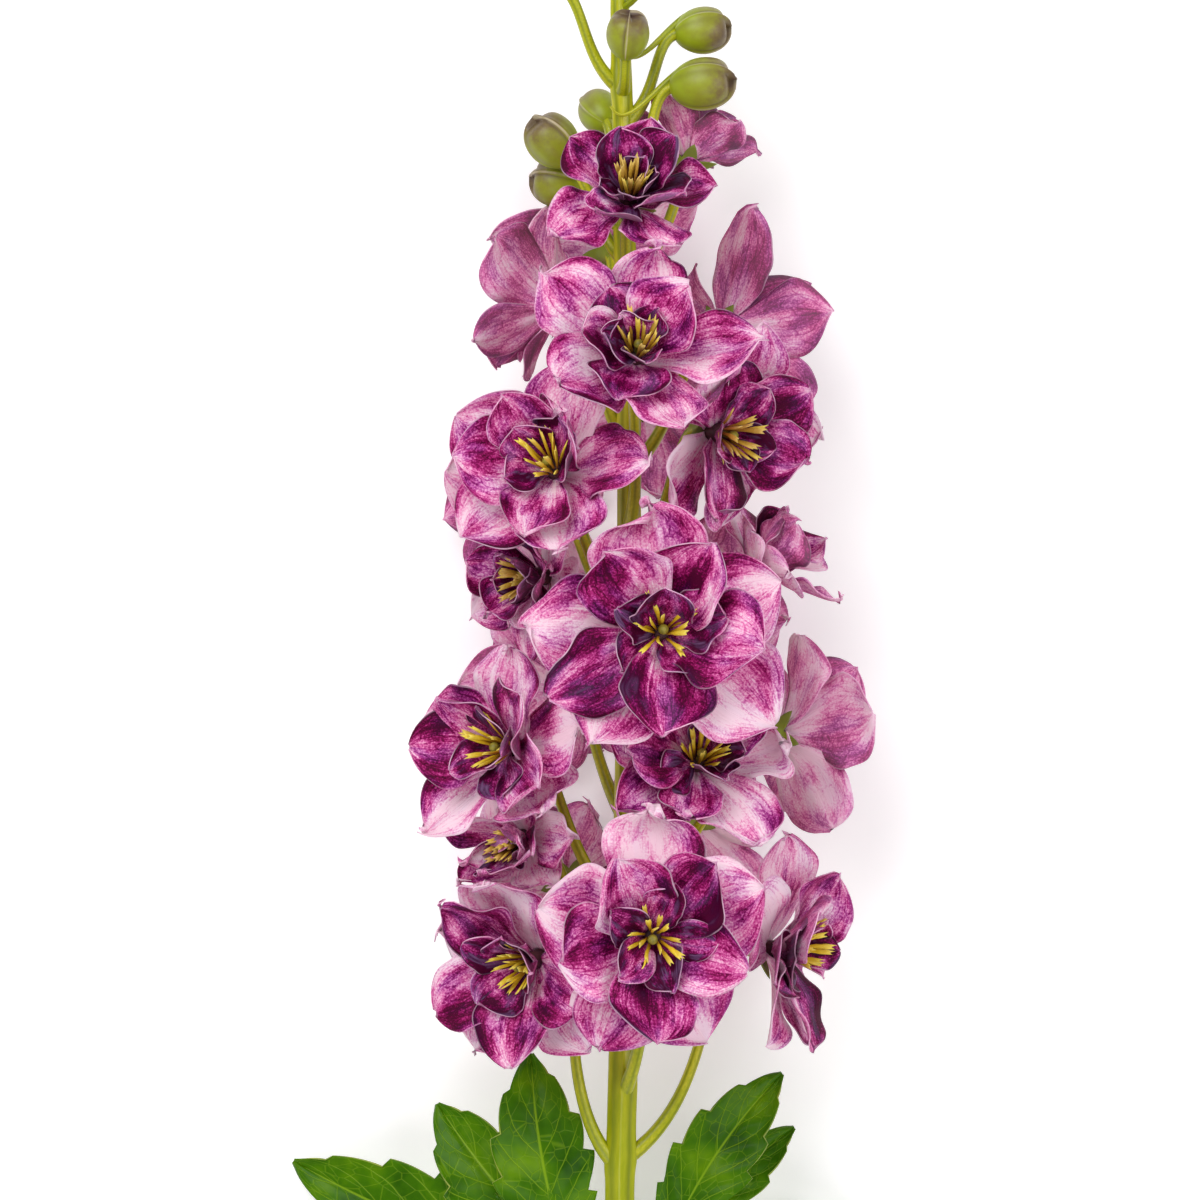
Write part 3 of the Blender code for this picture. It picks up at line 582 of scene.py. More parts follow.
def capped(foot, rings, top):
    """Rings of points [..., row, column] with a row of one place at each end, which closes them."""
    shape = rings[..., :1, :, :].shape
    ends = [np.broadcast_to(np.asarray(place)[..., None, None, :], shape) for place in (foot, top)]
    return np.concatenate([ends[0], rings, ends[1]], axis=-3)


def tube(path, radii, sides):
    """Points [row, column] of a rod round path, closed at its ends: a circle at each place, in the plane across
    the path."""
    path = np.asarray(path, float)
    tangent = unit(np.gradient(path, axis=0))
    middle = len(path) // 2
    flat = np.cross(path[middle] - path[0], path[-1] - path[0])
    flat = flat if np.linalg.norm(flat) > 1e-3 else np.cross(path[-1] - path[0], (0.3, 0.1, 1.0))
    flat = unit(flat)
    first = unit(flat - (tangent @ flat)[:, None] * tangent)
    second = np.cross(tangent, first)
    a = np.linspace(0, 2 * pi, sides, endpoint=False)[None, :, None]
    circle = np.cos(a) * first[:, None] + np.sin(a) * second[:, None]
    rings = path[:, None] + np.asarray(radii, float)[:, None, None] * circle
    return capped(path[0], rings, path[-1])


def turned(flower, along, radius, sides):
    """Points [row, column] of a turned form on a flower's own axis: along is the place forward of its heart and
    radius how far out, each given for every row or for every row and column."""
    forward, up, right = face(flower)
    a = np.linspace(0, 2 * pi, sides, endpoint=False)
    spoke = np.cos(a)[:, None] * up + np.sin(a)[:, None] * right
    rows = len(along)
    along = np.broadcast_to(np.reshape(along, (rows, -1)), (rows, sides))
    radius = np.broadcast_to(np.reshape(radius, (rows, -1)), (rows, sides))
    return heart(flower) + along[..., None] * forward + radius[..., None] * spoke[None]


def petals_of(index, clear, finishes):
    """A floret's petals, in three whorls of five. Smaller florets lack one in the middle and one inside, and
    the uppermost florets are the darkest."""
    floret = FLORETS[index]
    draw = np.random.default_rng(FIRST_SEED + index)
    fine = np.random.default_rng(FIRST_FINE_SEED + index)
    found = walls(index)
    clear = with_stamens(clear, floret)
    low = np.floor(PETAL_ROWS).astype(int)
    part = (PETAL_ROWS - low)[None, :, None, None]
    rows_at = PETAL_ROWS / PETAL_STEPS
    piece = Piece()
    for whorl in WHORLS:
        across = np.linspace(-1, 1, whorl.columns)
        across = 0.72 * across + 0.28 * across**3
        grown = settle(petal_lines(floret, whorl, draw, fine, across), found, clear, whorl.layer)
        grown = grown[:, low] * (1 - part) + grown[:, np.minimum(low + 1, PETAL_STEPS)] * part
        grown = petal_relief(smoothed(grown), rows_at, across, floret, whorl, fine)
        grown[..., 2] = np.maximum(grown[..., 2], PETAL_SHEET / 2)
        grown[..., 2] -= 0.5 * np.maximum(grown[..., 2] - TOP, 0)
        near_tip = sum(more * ease((floret.y - start) / length) for more, start, length in DARKER)
        tone = whorl.tone + fine.uniform(-0.12, 0.12, PETALS) + near_tip
        seed = fine.uniform(0, 40, PETALS)
        left_out = fine.permutation(PETALS)[: FEWER[whorl.layer]] if floret.spread < FULL_SPREAD else []
        kept = np.setdiff1d(np.arange(PETALS), left_out)
        piece.add(grown[kept], tone=tone[kept], seed=seed[kept], rows_at=rows_at, across_at=(across + 1) / 2)
    name = f"floret_{index + 1:02d}"
    piece.make(name + "_whorls", finishes, name + "_petals", thickness=PETAL_SHEET)


def stamens_of(index, finish):
    """A floret's stamens: flat straps that widen to a forked end, leaning and curving out round a green knob,
    on the floret's dark receptacle. A strap's line is the running sum of a direction that leans out further
    along it, and its cross-section is an ellipse."""
    floret = FLORETS[index]
    fine = np.random.default_rng(FIRST_STAMEN_SEED + index)
    forward, up, right = face(floret)
    size = (floret.spread / STAMENS_SPREAD) ** (1.3 if faces_table(floret) else 0.5)
    drawn_up = up * sin(radians(STAMENS_UP)) * (floret.up > 0)
    piece = Piece()
    order = np.arange(STAMENS)
    turn = order * radians(GOLDEN_ANGLE) + fine.uniform(-0.35, 0.35, STAMENS)
    share = np.sqrt((order + 1.0) / STAMENS)
    least, more = STAMENS_LEAN
    lean = np.radians(least + more * share * floret.opening**4.5 + fine.uniform(-6, 6, STAMENS))
    reach = fine.uniform(*STAMENS_REACH, STAMENS) * (1.04 - 0.14 * share) * size
    s = np.linspace(0, 1, 9)
    ray = np.cos(turn)[:, None] * up + np.sin(turn)[:, None] * right
    side = np.cross(forward, ray)
    base = heart(floret) + forward * (CORE_FRONT - 0.6) + ray * (0.3 + 1.5 * share)[:, None]
    bend = fine.uniform(*STAMENS_BEND, (STAMENS, 1)) * floret.opening**4
    angle = lean[:, None] + bend * s**1.5
    way = np.cos(angle)[..., None] * forward + np.sin(angle)[..., None] * ray[:, None]
    way = way + side[:, None] * fine.uniform(-0.25, 0.25, (STAMENS, 1, 1)) * s[None, :, None] + drawn_up
    path = base[:, None] + np.cumsum(way, axis=1) * (reach / len(s))[:, None, None]
    a = np.linspace(0, 2 * pi, 8, endpoint=False)
    spin = fine.uniform(-0.7, 0.7, (STAMENS, 1, 1))
    normal = unit(np.cross(way, side[:, None]))
    broad = np.cos(spin) * side[:, None] + np.sin(spin) * normal
    deep = np.cos(spin) * normal - np.sin(spin) * side[:, None]
    ragged = 1 + fine.uniform(-0.12, 0.12, (STAMENS, len(s), 1, 1))
    wide = np.interp(s, [0, 0.4, 0.62, 0.86, 1], [0.34, 0.36, 0.60, 0.72, 0.55])[None, :, None, None] * ragged
    thick = np.interp(s, [0, 0.5, 1], [0.28, 0.38, 0.22])[None, :, None, None]
    ring = broad[:, :, None] * np.cos(a)[None, None, :, None] * wide
    ring = ring + deep[:, :, None] * np.sin(a)[None, None, :, None] * thick
    prong = (np.cos(a) ** 2 * np.where(np.cos(a) > 0, 1.5, 0.9))[None, None, :, None]
    fork = prong * (s > 0.99)[None, :, None, None] * way[:, :, None]
    rings = path[:, :, None] + ring + fork
    rings = capped(path[:, 0], rings, path[:, -1] - way[:, -1] * 0.2)
    rings[..., 2] = np.maximum(rings[..., 2], 0.3)
    tone = fine.uniform(0.0, 0.4, STAMENS) + (0.5 if floret.spread > 28 else 0.1)
    piece.add(rings, closed=True, tone=tone, seed=fine.uniform(0, 30, STAMENS), outward=False)
    t = np.linspace(0, 1, 12)
    swollen = np.interp(t, [0, 0.1, 0.5, 0.62, 0.78, 0.92, 1], [0, 0.9, 0.75, 1.15, 1.4, 1.0, 0])
    knob = turned(floret, CORE_FRONT - 0.4 + 6.2 * size * t, swollen * (0.6 + 0.4 * size), 12)
    piece.add(knob, closed=True, slot=1, outward=False)
    along = np.interp(t, [0, 0.2, 0.75, 1], [CORE_BACK, CORE_BACK + 0.5, CORE_FRONT - 0.4, CORE_FRONT])
    core = turned(floret, along, np.interp(t, [0, 0.15, 0.7, 1], [0, 2.3, 2.4, 0]), 14)
    piece.add(core, closed=True, slot=2, outward=False)
    name = f"floret_{index + 1:02d}"
    piece.make(name + "_anthers", finish, name + "_stamens", merge=True)


def closed_bud(piece, bud, rows, sides, slot):
    """A bud: a blunt egg whose radius is a power of a sine along it, fuller towards its far end. Round it lie
    three folded sepals: each swells a little, rises to a ridge and drops over the next one's edge, and the far
    end dips in between the ridges."""
    t = np.linspace(0, 1, rows)[:, None]
    a = np.linspace(0, 2 * pi, sides, endpoint=False)[None]
    fold = (a / (2 * pi) * BUD_FOLDS - BUD_FOLD_AT) % 1
    ridge = ease((fold - 0.80) / 0.15) * (1 - ease((fold - 0.955) / 0.045))
    body = np.sin(pi * t**0.86) ** 0.5 * (0.84 + 0.22 * t)
    strength = ease(t / 0.25) * (0.7 + 0.6 * t)
    radius = bud.width / 2 * body * (1 + (0.085 * ridge + 0.04 * np.sin(pi * fold) - 0.03) * strength)
    dip = 0.15 * bud.length * np.clip((t - 0.70) / 0.30, 0, 1) ** 2.2 * (1 - 0.8 * ridge)
    along = -bud.length / 2 + bud.length * 1.03 * t - dip
    piece.add(turned(bud, along, radius, sides), closed=True, slot=slot, seed=bud.x * 1.7, outward=False)


def spur(piece, bud, slot):
    """A bud's spur: a thin tail that leaves its upper back and hangs in an arc towards the stem: a cubic."""
    forward, up, right = face(bud)
    size = bud.length
    start = heart(bud) - forward * size * 0.26 + up * bud.width * 0.30
    drop = np.array([0, -size, 0])
    second = start - forward * size * 0.45 + drop * 0.22
    third = start - forward * size * 0.85 + drop * 0.85 + np.array([0, 0, 2.0])
    last = start - forward * size * 1.08 + drop * 0.42 + np.array([0, 0, 3.0])
    path = cubic(start, second, third, last, points=20)
    piece.add(tube(path, 1.15 - 0.85 * np.linspace(0, 1, 20) ** 0.8, 10), closed=True, slot=slot, outward=False)


def tip_buds():
    """The smallest buds: they stand round the tip by the golden angle, smaller towards its end."""
    found = []
    for number in range(TIP_BUDS):
        share = number / (TIP_BUDS - 1)
        y = TIP_BUDS_FROM + (TIP_BUDS_TO - TIP_BUDS_FROM) * share
        turn = 40 + GOLDEN_ANGLE * number
        length = TIP_BUD_LONGEST + (TIP_BUD_SHORTEST - TIP_BUD_LONGEST) * share
        reach = 1.25 * length * (1 - 0.75 * share) + 1.0
        x, rise = reach * sin(radians(turn)), reach * cos(radians(turn))
        found.append(Bud(x, y, rise, turn, 50 + 35 * share, length, length * 0.75, 12 - 8 * share))
    return found


def stem_body(piece, flowers):
    """The stem: rings round its axis, with ribs that are sums of cosines round it, and a swelling below each
    flower's stalk. Low down it is lifted so that it lies on the table."""
    y = np.concatenate([[0, 0.4], np.linspace(1.2, SPIKE_LENGTH, 260)])
    sides = 40
    a = np.linspace(0, 2 * pi, sides, endpoint=False)
    path = stem_points(y)
    rib = 0.055 * np.cos(5 * a) + 0.03 * np.cos(10 * a + 0.6) - 0.03 * np.abs(np.cos(2.5 * a + 0.8)) ** 20
    radius = stem_radius(y)[:, None] * (1.0 + rib)
    for flower in flowers:
        root = flower.y - flower.drop
        out = heart(flower) - stem_points(flower.y)
        toward = np.arctan2(out[0], out[2])
        facing = np.cos(a - toward).clip(0, 1) ** 2
        radius = radius + 0.55 * np.exp(-(((y[:, None] - root - 1.5) / 3.5) ** 2)) * facing
    radius[0] *= 0.94
    spoke = np.sin(a)[:, None] * np.array([1.0, 0, 0]) + np.cos(a)[:, None] * np.array([0, 0, 1.0])
    rings = path[:, None] + radius[..., None] * spoke
    low = rings[..., 2].min()
    rings[..., 2] -= min(low, 0) * (1 - ease(y / 60))[:, None]
    piece.add(capped(path[0] + (0, 0.5, 0), rings, path[-1]), closed=True)


def stalks(piece, flowers):
    """The flowers' stalks, thicker at the stem and where the flower sits. Long ones bow out sideways."""
    for flower in flowers:
        open_flower = isinstance(flower, Floret)
        end = calyx_back(flower) if open_flower else bud_back(flower) + face(flower)[0] * 1.6
        line = stalk_path(flower, end, points=26)
        t = np.linspace(0, 1, 26)
        out = np.sign(flower.x) * max(flower.drop - 36, 0) / 18
        line[:, 0] += 6.0 * out * np.sin(pi * t) * (1 - t)
        thick = 1.42 + 0.75 * (1 - t) ** 5 - 0.12 * t + (0.25 * t**6 if open_flower else 0.45 * t**8)
        piece.add(tube(line, thick, 12), closed=True, tone=0.6, seed=flower.y, outward=False)


def stem_green(finishes):
    """The stem, its flower stalks, the calyces and the tip buds, which grew as one green piece."""
    piece = Piece()
    stem_body(piece, [*FLORETS, *BUDS])
    stalks(piece, [*FLORETS, *BUDS])
    for floret in FLORETS:
        calyx(piece, floret)
    for bud in tip_buds():
        line = stalk_path(bud, heart(bud), points=14)
        piece.add(tube(line, np.linspace(1.0, 0.7, 14), 8), closed=True, outward=False)
        closed_bud(piece, bud, rows=14, sides=20, slot=1)
    piece.make("stem_stalks_calyces", finishes, "stem", merge=True)


def calyx(piece, floret):
    """A green funnel behind the petals, with five small pointed lobes: its radius grows as a power along it,
    and past the rim the radius follows a pointed star that leans along the petals, out and back."""
    sides = 50
    a = np.linspace(0, 2 * pi, sides, endpoint=False)
    star = (1 - np.abs(((a * PETALS / (2 * pi)) % 1) * 2 - 1)) ** 1.2
    s = np.linspace(0, 1, 9)
    back = CALYX_FRONT - CALYX_LENGTH
    funnel = [back - 0.2, *(back + CALYX_LENGTH * s * 0.92)], [0, *(1.2 + (CALYX_RADIUS - 1.2) * s**1.7)]
    along, radius = ([np.full(sides, one) for one in part] for part in funnel)
    out, home = np.linspace(0.2, 1.0, 5), np.linspace(0.8, 0.0, 5)
    for reaches, front, rim, spread in ((out, -0.5, 1.0, 4.4), (home, -0.1, 0.97, 4.3)):
        along.extend(CALYX_FRONT + front + 2.0 * star * reach for reach in reaches)
        radius.extend(CALYX_RADIUS * rim + spread * star * reach for reach in reaches)
    along.append(np.full(sides, CALYX_FRONT))
    radius.append(np.zeros(sides))
    points = turned(floret, np.array(along), np.array(radius), sides)
    piece.add(points, closed=True, slot=2, seed=floret.y, outward=False)


def leaf_lobe(leaf, lobe, rows, columns):
    """A lobe as a sheet: its midrib bends sideways and sinks to its tip, its half width is a power of a sine
    with coarse teeth that point forwards, its sides rise from the midrib, and between side veins it swells."""
    u = np.linspace(0, 1, rows)
    turn = np.radians(lobe.heading + lobe.bend * (u - 0.5) * 2)
    stride = lobe.length / (rows - 1)
    x = leaf.x + np.concatenate([[0], np.cumsum(np.sin(turn[:-1]))]) * stride
    y = leaf.y + np.concatenate([[0], np.cumsum(np.cos(turn[:-1]))]) * stride
    z = leaf.z + (lobe.tip_height - leaf.z) * ease(u) + 5.0 * np.sin(pi * u)
    middle = np.stack([x, y, z], axis=1)[:, None]
    side = np.stack([np.cos(turn), -np.sin(turn), 0 * turn], axis=1)[:, None]
    v = np.linspace(-1, 1, columns)[None, :]
    shape = np.sin(pi * np.clip(u, 0.02, 0.995) ** 0.9) ** 0.75
    saw = (u[:, None] * 5.2 + 0.35 * np.sign(v)) % 1
    teeth = 1 - 0.22 * (1 - saw) ** 1.3 * ease((u[:, None] - 0.12) / 0.2) * np.abs(v) ** 5
    half = (lobe.width / 2 * shape)[:, None] * teeth
    swell = np.sin(pi * ((u[:, None] * 7 - np.abs(v) * 1.6) % 1)) ** 2 * np.abs(v) * (1 - np.abs(v)) * 1.3
    height = 0.24 * half * np.abs(v) ** 1.3 + 1.3 * np.sin(7.0 * u[:, None] + 2 * v) * v**2 * u[:, None]
    height = height + swell * np.sin(pi * u)[:, None] - 0.45 * np.exp(-((v / 0.07) ** 2))
    return middle + side * (half * v)[..., None] + height[..., None] * np.array([0, 0, 1.0])


def leaf_pieces(leaf, finishes, stalk_finish):
    """A leaf's lobes, and its stalk."""
    piece = Piece()
    for number, lobe in enumerate(leaf.lobes):
        sheet = leaf_lobe(leaf, lobe, 64, 25) - np.array([0, 0, 0.25 * number])
        piece.add(sheet, tone=0.4 + 0.1 * number, seed=lobe.heading * 0.37)
    piece.make(leaf.name + "_blades", finishes, leaf.name, thickness=LEAF_SHEET)
    meet = np.array([leaf.x, leaf.y, leaf.z])
    root = stem_points(leaf.stalk_y)
    start = root + unit((meet - root) * (1, 0, 1)) * (STEM_RADIUS - 0.8)
    end = meet + unit(meet - start) * 5.0
    t = np.linspace(0, 1, 18)[:, None]
    path = start + (end - start) * t + np.array([0, 0, -1.0]) * np.sin(pi * t)
    stalk = Piece()
    thick = 1.7 + 0.9 * (1 - t[:, 0]) ** 4 - 0.9 * t[:, 0] ** 3
    stalk.add(tube(path, thick, 12), closed=True, outward=False)
    stalk.make(leaf.name + "_stalk", stalk_finish, leaf.name, merge=True)


class Net:
    """Adds and joins the nodes of one material or group."""

    def __init__(self, tree):
        self.tree = tree

    def put(self, value, socket):
        """Sets a socket to a number or colour, or joins an output to it."""
        if isinstance(value, bpy.types.NodeSocket):
            self.tree.links.new(value, socket)
        else:
            socket.default_value = value

    def add(self, kind, sockets=None, **settings):
        """A node with these settings and sockets, named or numbered."""
        node = self.tree.nodes.new(kind)
        for key, value in settings.items():
            setattr(node, key, value)
        for key, value in (sockets or {}).items():
            self.put(value, node.inputs[key])
        return node

    def math(self, operation, a, b=0.0):
        return self.add("ShaderNodeMath", {0: a, 1: b}, operation=operation).outputs[0]

    def sum(self, value, *others):
        for other in others:
            value = self.math("ADD", value, other)
        return value

    def times(self, a, b):
        return self.math("MULTIPLY", a, b)

    def swing(self, noise, amount):
        """A noise about 0.5 as one about 0, times amount."""
        return self.times(self.sum(noise, -0.5), amount)

    def smooth(self, value, low, high, bottom=0.0, top=1.0):
        """Rises smoothly from bottom to top as value goes from low to high."""
        sockets = {"Value": value, "From Min": low, "From Max": high, "To Min": bottom, "To Max": top}
        return self.add("ShaderNodeMapRange", sockets, interpolation_type="SMOOTHSTEP").outputs[0]

    def noise(self, vector, scale, detail=2.0, roughness=0.5):
        sockets = {"Vector": vector, "Scale": scale, "Detail": detail, "Roughness": roughness}
        return self.add("ShaderNodeTexNoise", sockets).outputs["Fac"]

    def place(self, x, y, z):
        return self.add("ShaderNodeCombineXYZ", {0: x, 1: y, 2: z}).outputs[0]

    def cells(self, x, y, z):
        """The distance to the edges of an uneven net with cells about 1 wide."""
        node = self.add("ShaderNodeTexVoronoi", feature="DISTANCE_TO_EDGE")
        self.put(self.place(x, y, z), node.inputs["Vector"])
        self.put(1.0, node.inputs["Scale"])
        return node.outputs["Distance"]

    def mix(self, factor, a, b, blend="MIX"):
        node = self.add("ShaderNodeMix", data_type="RGBA", blend_type=blend)
        for key, value in ((0, factor), (6, a), (7, b)):
            self.put(value, node.inputs[key])
        return node.outputs[2]

    def ramp(self, value, stops):
        """A colour ramp through (place, sRGB colour) stops."""
        stops = list(stops)
        node = self.add("ShaderNodeValToRGB", {0: value})
        points = node.color_ramp.elements
        while len(points) < len(stops):
            points.new(0.5)
        for point, (place, shade) in zip(points, stops):
            point.position = place
            point.color = colour(*shade)
        return node.outputs[0]

    def attribute(self, name):
        return self.add("ShaderNodeAttribute", attribute_name=name).outputs["Fac"]

    def surface(self):
        """(u, v): along and across a piece."""
        uv = self.add("ShaderNodeUVMap", uv_map="surface").outputs[0]
        split = self.add("ShaderNodeSeparateXYZ", {0: uv})
        return split.outputs[0], split.outputs[1]

    def solid(self):
        """The place in the object, in metres."""
        return self.add("ShaderNodeTexCoord").outputs["Object"]


def colour(r, g, b):
    """An sRGB colour of 0 to 255 as linear RGBA."""
    c = np.array([r, g, b]) / 255
    c = np.where(c <= 0.04045, c / 12.92, ((c + 0.055) / 1.055) ** 2.4)
    return (*map(float, c), 1.0)


def group(name, inputs, outputs):
    """An empty shader node group with these sockets, as (its net, group input, group output)."""
    made = bpy.data.node_groups.new(name, "ShaderNodeTree")
    for socket, value in inputs.items():
        made.interface.new_socket(socket, in_out="INPUT", socket_type="NodeSocketFloat").default_value = value
    for socket, kind in outputs.items():
        made.interface.new_socket(socket, in_out="OUTPUT", socket_type=kind)
    net = Net(made)
    return net, net.add("NodeGroupInput"), net.add("NodeGroupOutput")


def petal_pattern():
    """The petals' colouring: pale pink flooded with magenta and dark purple. Broad washes leave one side of a
    petal paler, streaks, pleats and a net of veins run lengthwise, fine pale flecks break the dark up, tips and
    claws stay pale, the edge is a thin pale line, and a painted greyish mauve sheen lies along the streaks of
    the darker petals."""
    outputs = {"Color": "NodeSocketColor", "Height": "NodeSocketFloat"}
    net, given, result = group("petal pattern", {"Depth": 0.0, "Contrast": 1.0}, outputs)
    u, v = net.surface()
    tone, seed = net.attribute("tone"), net.attribute("seed")
    across = net.swing(v, 2.0)
    side = net.math("ABSOLUTE", across)
    wash = net.noise(net.place(net.times(u, 1.9), net.times(across, 1.1), seed), 1.3, 1.0, 0.5)
    cloud = net.noise(net.place(net.times(u, 4.5), net.times(across, 3.6), seed), 1.2, 3.0, 0.55)
    streak = net.noise(net.place(net.times(u, 2.4), net.times(across, 13.0), seed), 1.0, 3.0, 0.6)
    pleat = net.noise(net.place(net.times(u, 1.4), net.times(across, 30.0), seed), 1.0, 2.0, 0.5)
    fleck = net.noise(net.solid(), 1900.0, 2.0, 0.65)
    bent = net.sum(net.times(across, 7.0), net.swing(cloud, 1.6))
    vein = net.smooth(net.cells(net.times(u, 5.0), bent, seed), 0.0, 0.09, 1.0, 0.0)
    slope = net.times(net.math("SINE", net.times(seed, 7.0)), across)
    patches = [net.swing(wash, 1.65), net.swing(cloud, 0.55), net.swing(streak, 0.62), net.swing(pleat, 0.34)]
    depth = net.times(net.sum(*patches, net.times(slope, 0.18)), given.outputs["Contrast"])
    depth = net.sum(depth, tone, given.outputs["Depth"], net.times(vein, 0.16))
    by_edge = net.smooth(side, 0.35, 0.90, -0.04, 0.08)
    at_claw = net.smooth(u, 0.04, 0.50, -0.16, 0.05)
    at_tip = net.smooth(u, 0.80, 1.00, 0.0, -0.22)
    depth = net.sum(depth, by_edge, at_claw, at_tip, net.smooth(fleck, 0.42, 0.66, 0.07, -0.15))
    stops = (0.00, 0.18, 0.36, 0.53, 0.71, 0.92)
    magenta = ((248, 214, 228), (238, 174, 206), (224, 118, 176), (184, 52, 128), (132, 8, 80), (74, 0, 40))
    purple = ((242, 216, 232), (228, 172, 210), (198, 108, 176), (148, 50, 134), (98, 14, 86), (52, 2, 48))
    sheen_mauve, pale_edge = colour(140, 104, 150), colour(236, 196, 222)
    hue = net.noise(net.place(net.times(u, 2.2), net.times(across, 2.0), net.sum(seed, 9.0)), 1.2, 2.0)
    hue = net.sum(net.smooth(hue, 0.42, 0.66, 0.0, 0.75), net.smooth(tone, 0.50, 0.80, 0.0, 0.25))
    shade = net.mix(hue, net.ramp(depth, zip(stops, magenta)), net.ramp(depth, zip(stops, purple)))
    # Painted sheen: a greyish mauve laid over the darker petals along their streaks, standing in for the sheen
    # they show in the light.
    painted_sheen = net.times(net.smooth(tone, 0.48, 0.75), net.smooth(hue, 0.40, 0.90, 0.0, 0.55))
    painted_sheen = net.times(painted_sheen, net.smooth(streak, 0.30, 0.70))
    shade = net.mix(painted_sheen, shade, sheen_mauve)
    rim = net.math("MAXIMUM", net.smooth(side, 0.968, 0.982), net.smooth(u, 0.982, 0.990))
    rim = net.times(rim, net.smooth(streak, 0.40, 0.60, 0.12, 0.55))
    net.put(net.mix(rim, shade, pale_edge), result.inputs["Color"])
    heights = ((pleat, 1.1), (vein, -0.35), (fleck, 0.5), (streak, 0.8))
    net.put(net.sum(*(net.times(part, amount) for part, amount in heights)), result.inputs["Height"])
    return net.tree


def skin(name, shade, roughness, bump=None, **sockets):
    """A material whose base colour is made by shade(net); other values are the shader's own sockets. bump is
    (strength, distance in millimetres) for the height that shade gives with its colour."""
    made = bpy.data.materials.new(name)
    made.use_nodes = True
    shader = made.node_tree.nodes["Principled BSDF"]
    net = Net(made.node_tree)
    painted, height = shade(net)
    net.put(painted, shader.inputs["Base Color"])
    net.put(roughness, shader.inputs["Roughness"])
    for key, value in sockets.items():
        shader.inputs[key.replace("_", " ")].default_value = value
    if bump:
        values = {"Strength": bump[0], "Distance": bump[1] * MM, "Height": height}
        net.put(net.add("ShaderNodeBump", values).outputs[0], shader.inputs["Normal"])
    return made


def grained(scale, dark, light):
    """A shade for skin: a fine grain between two colours."""

    def shade(net):
        grain = net.noise(net.solid(), scale, 2.0)
        return net.ramp(grain, ((0.3, dark), (0.7, light))), grain

    return shade


def petal_skins():
    """Front, back and cut edge of the petals."""
    pattern = petal_pattern()

    def front(net):
        node = net.add("ShaderNodeGroup", node_tree=pattern)
        return node.outputs["Color"], node.outputs["Height"]

    def back(net):
        node = net.add("ShaderNodeGroup", {"Depth": -0.04, "Contrast": 0.90}, node_tree=pattern)
        return net.mix(0.20, node.outputs["Color"], colour(222, 156, 194)), node.outputs["Height"]

    def edge(net):
        node = net.add("ShaderNodeGroup", node_tree=pattern)
        patch = net.smooth(net.noise(net.solid(), 160.0, 2.0, 0.6), 0.40, 0.66, 0.08, 0.60)
        return net.mix(patch, node.outputs["Color"], colour(236, 186, 214)), None

    soft = {"Specular_IOR_Level": 0.09}
    return (
        skin("petal face", front, 0.55, (0.55, 0.25), **soft),
        skin("petal back", back, 0.58, (0.55, 0.25), **soft),
        skin("petal rim", edge, 0.55, **soft),
    )


def stamen_skins():
    """Anther yellow, the knob's green and the receptacle's dark purple."""

    def anther(net):
        u, _ = net.surface()
        grain = net.noise(net.solid(), 1500.0, 3.0, 0.6)
        place = net.sum(u, net.swing(grain, 0.5))
        ochre = ((0.0, (110, 56, 24)), (0.3, (166, 112, 36)), (0.65, (204, 160, 62)), (1.0, (226, 192, 110)))
        yellow = ((0.0, (150, 90, 20)), (0.3, (206, 158, 20)), (0.65, (236, 202, 40)), (1.0, (246, 226, 100)))
        bright = net.smooth(net.attribute("tone"), 0.2, 0.7)
        return net.mix(bright, net.ramp(place, ochre), net.ramp(place, yellow)), grain

    return (
        skin("anther yellow", anther, 0.55, (0.5, 0.12)),
        skin("knob green", grained(900.0, (104, 98, 30), (160, 150, 52)), 0.5, (0.3, 0.1)),
        skin("receptacle", grained(600.0, (58, 22, 40), (84, 44, 44)), 0.6, (0.3, 0.1)),
    )


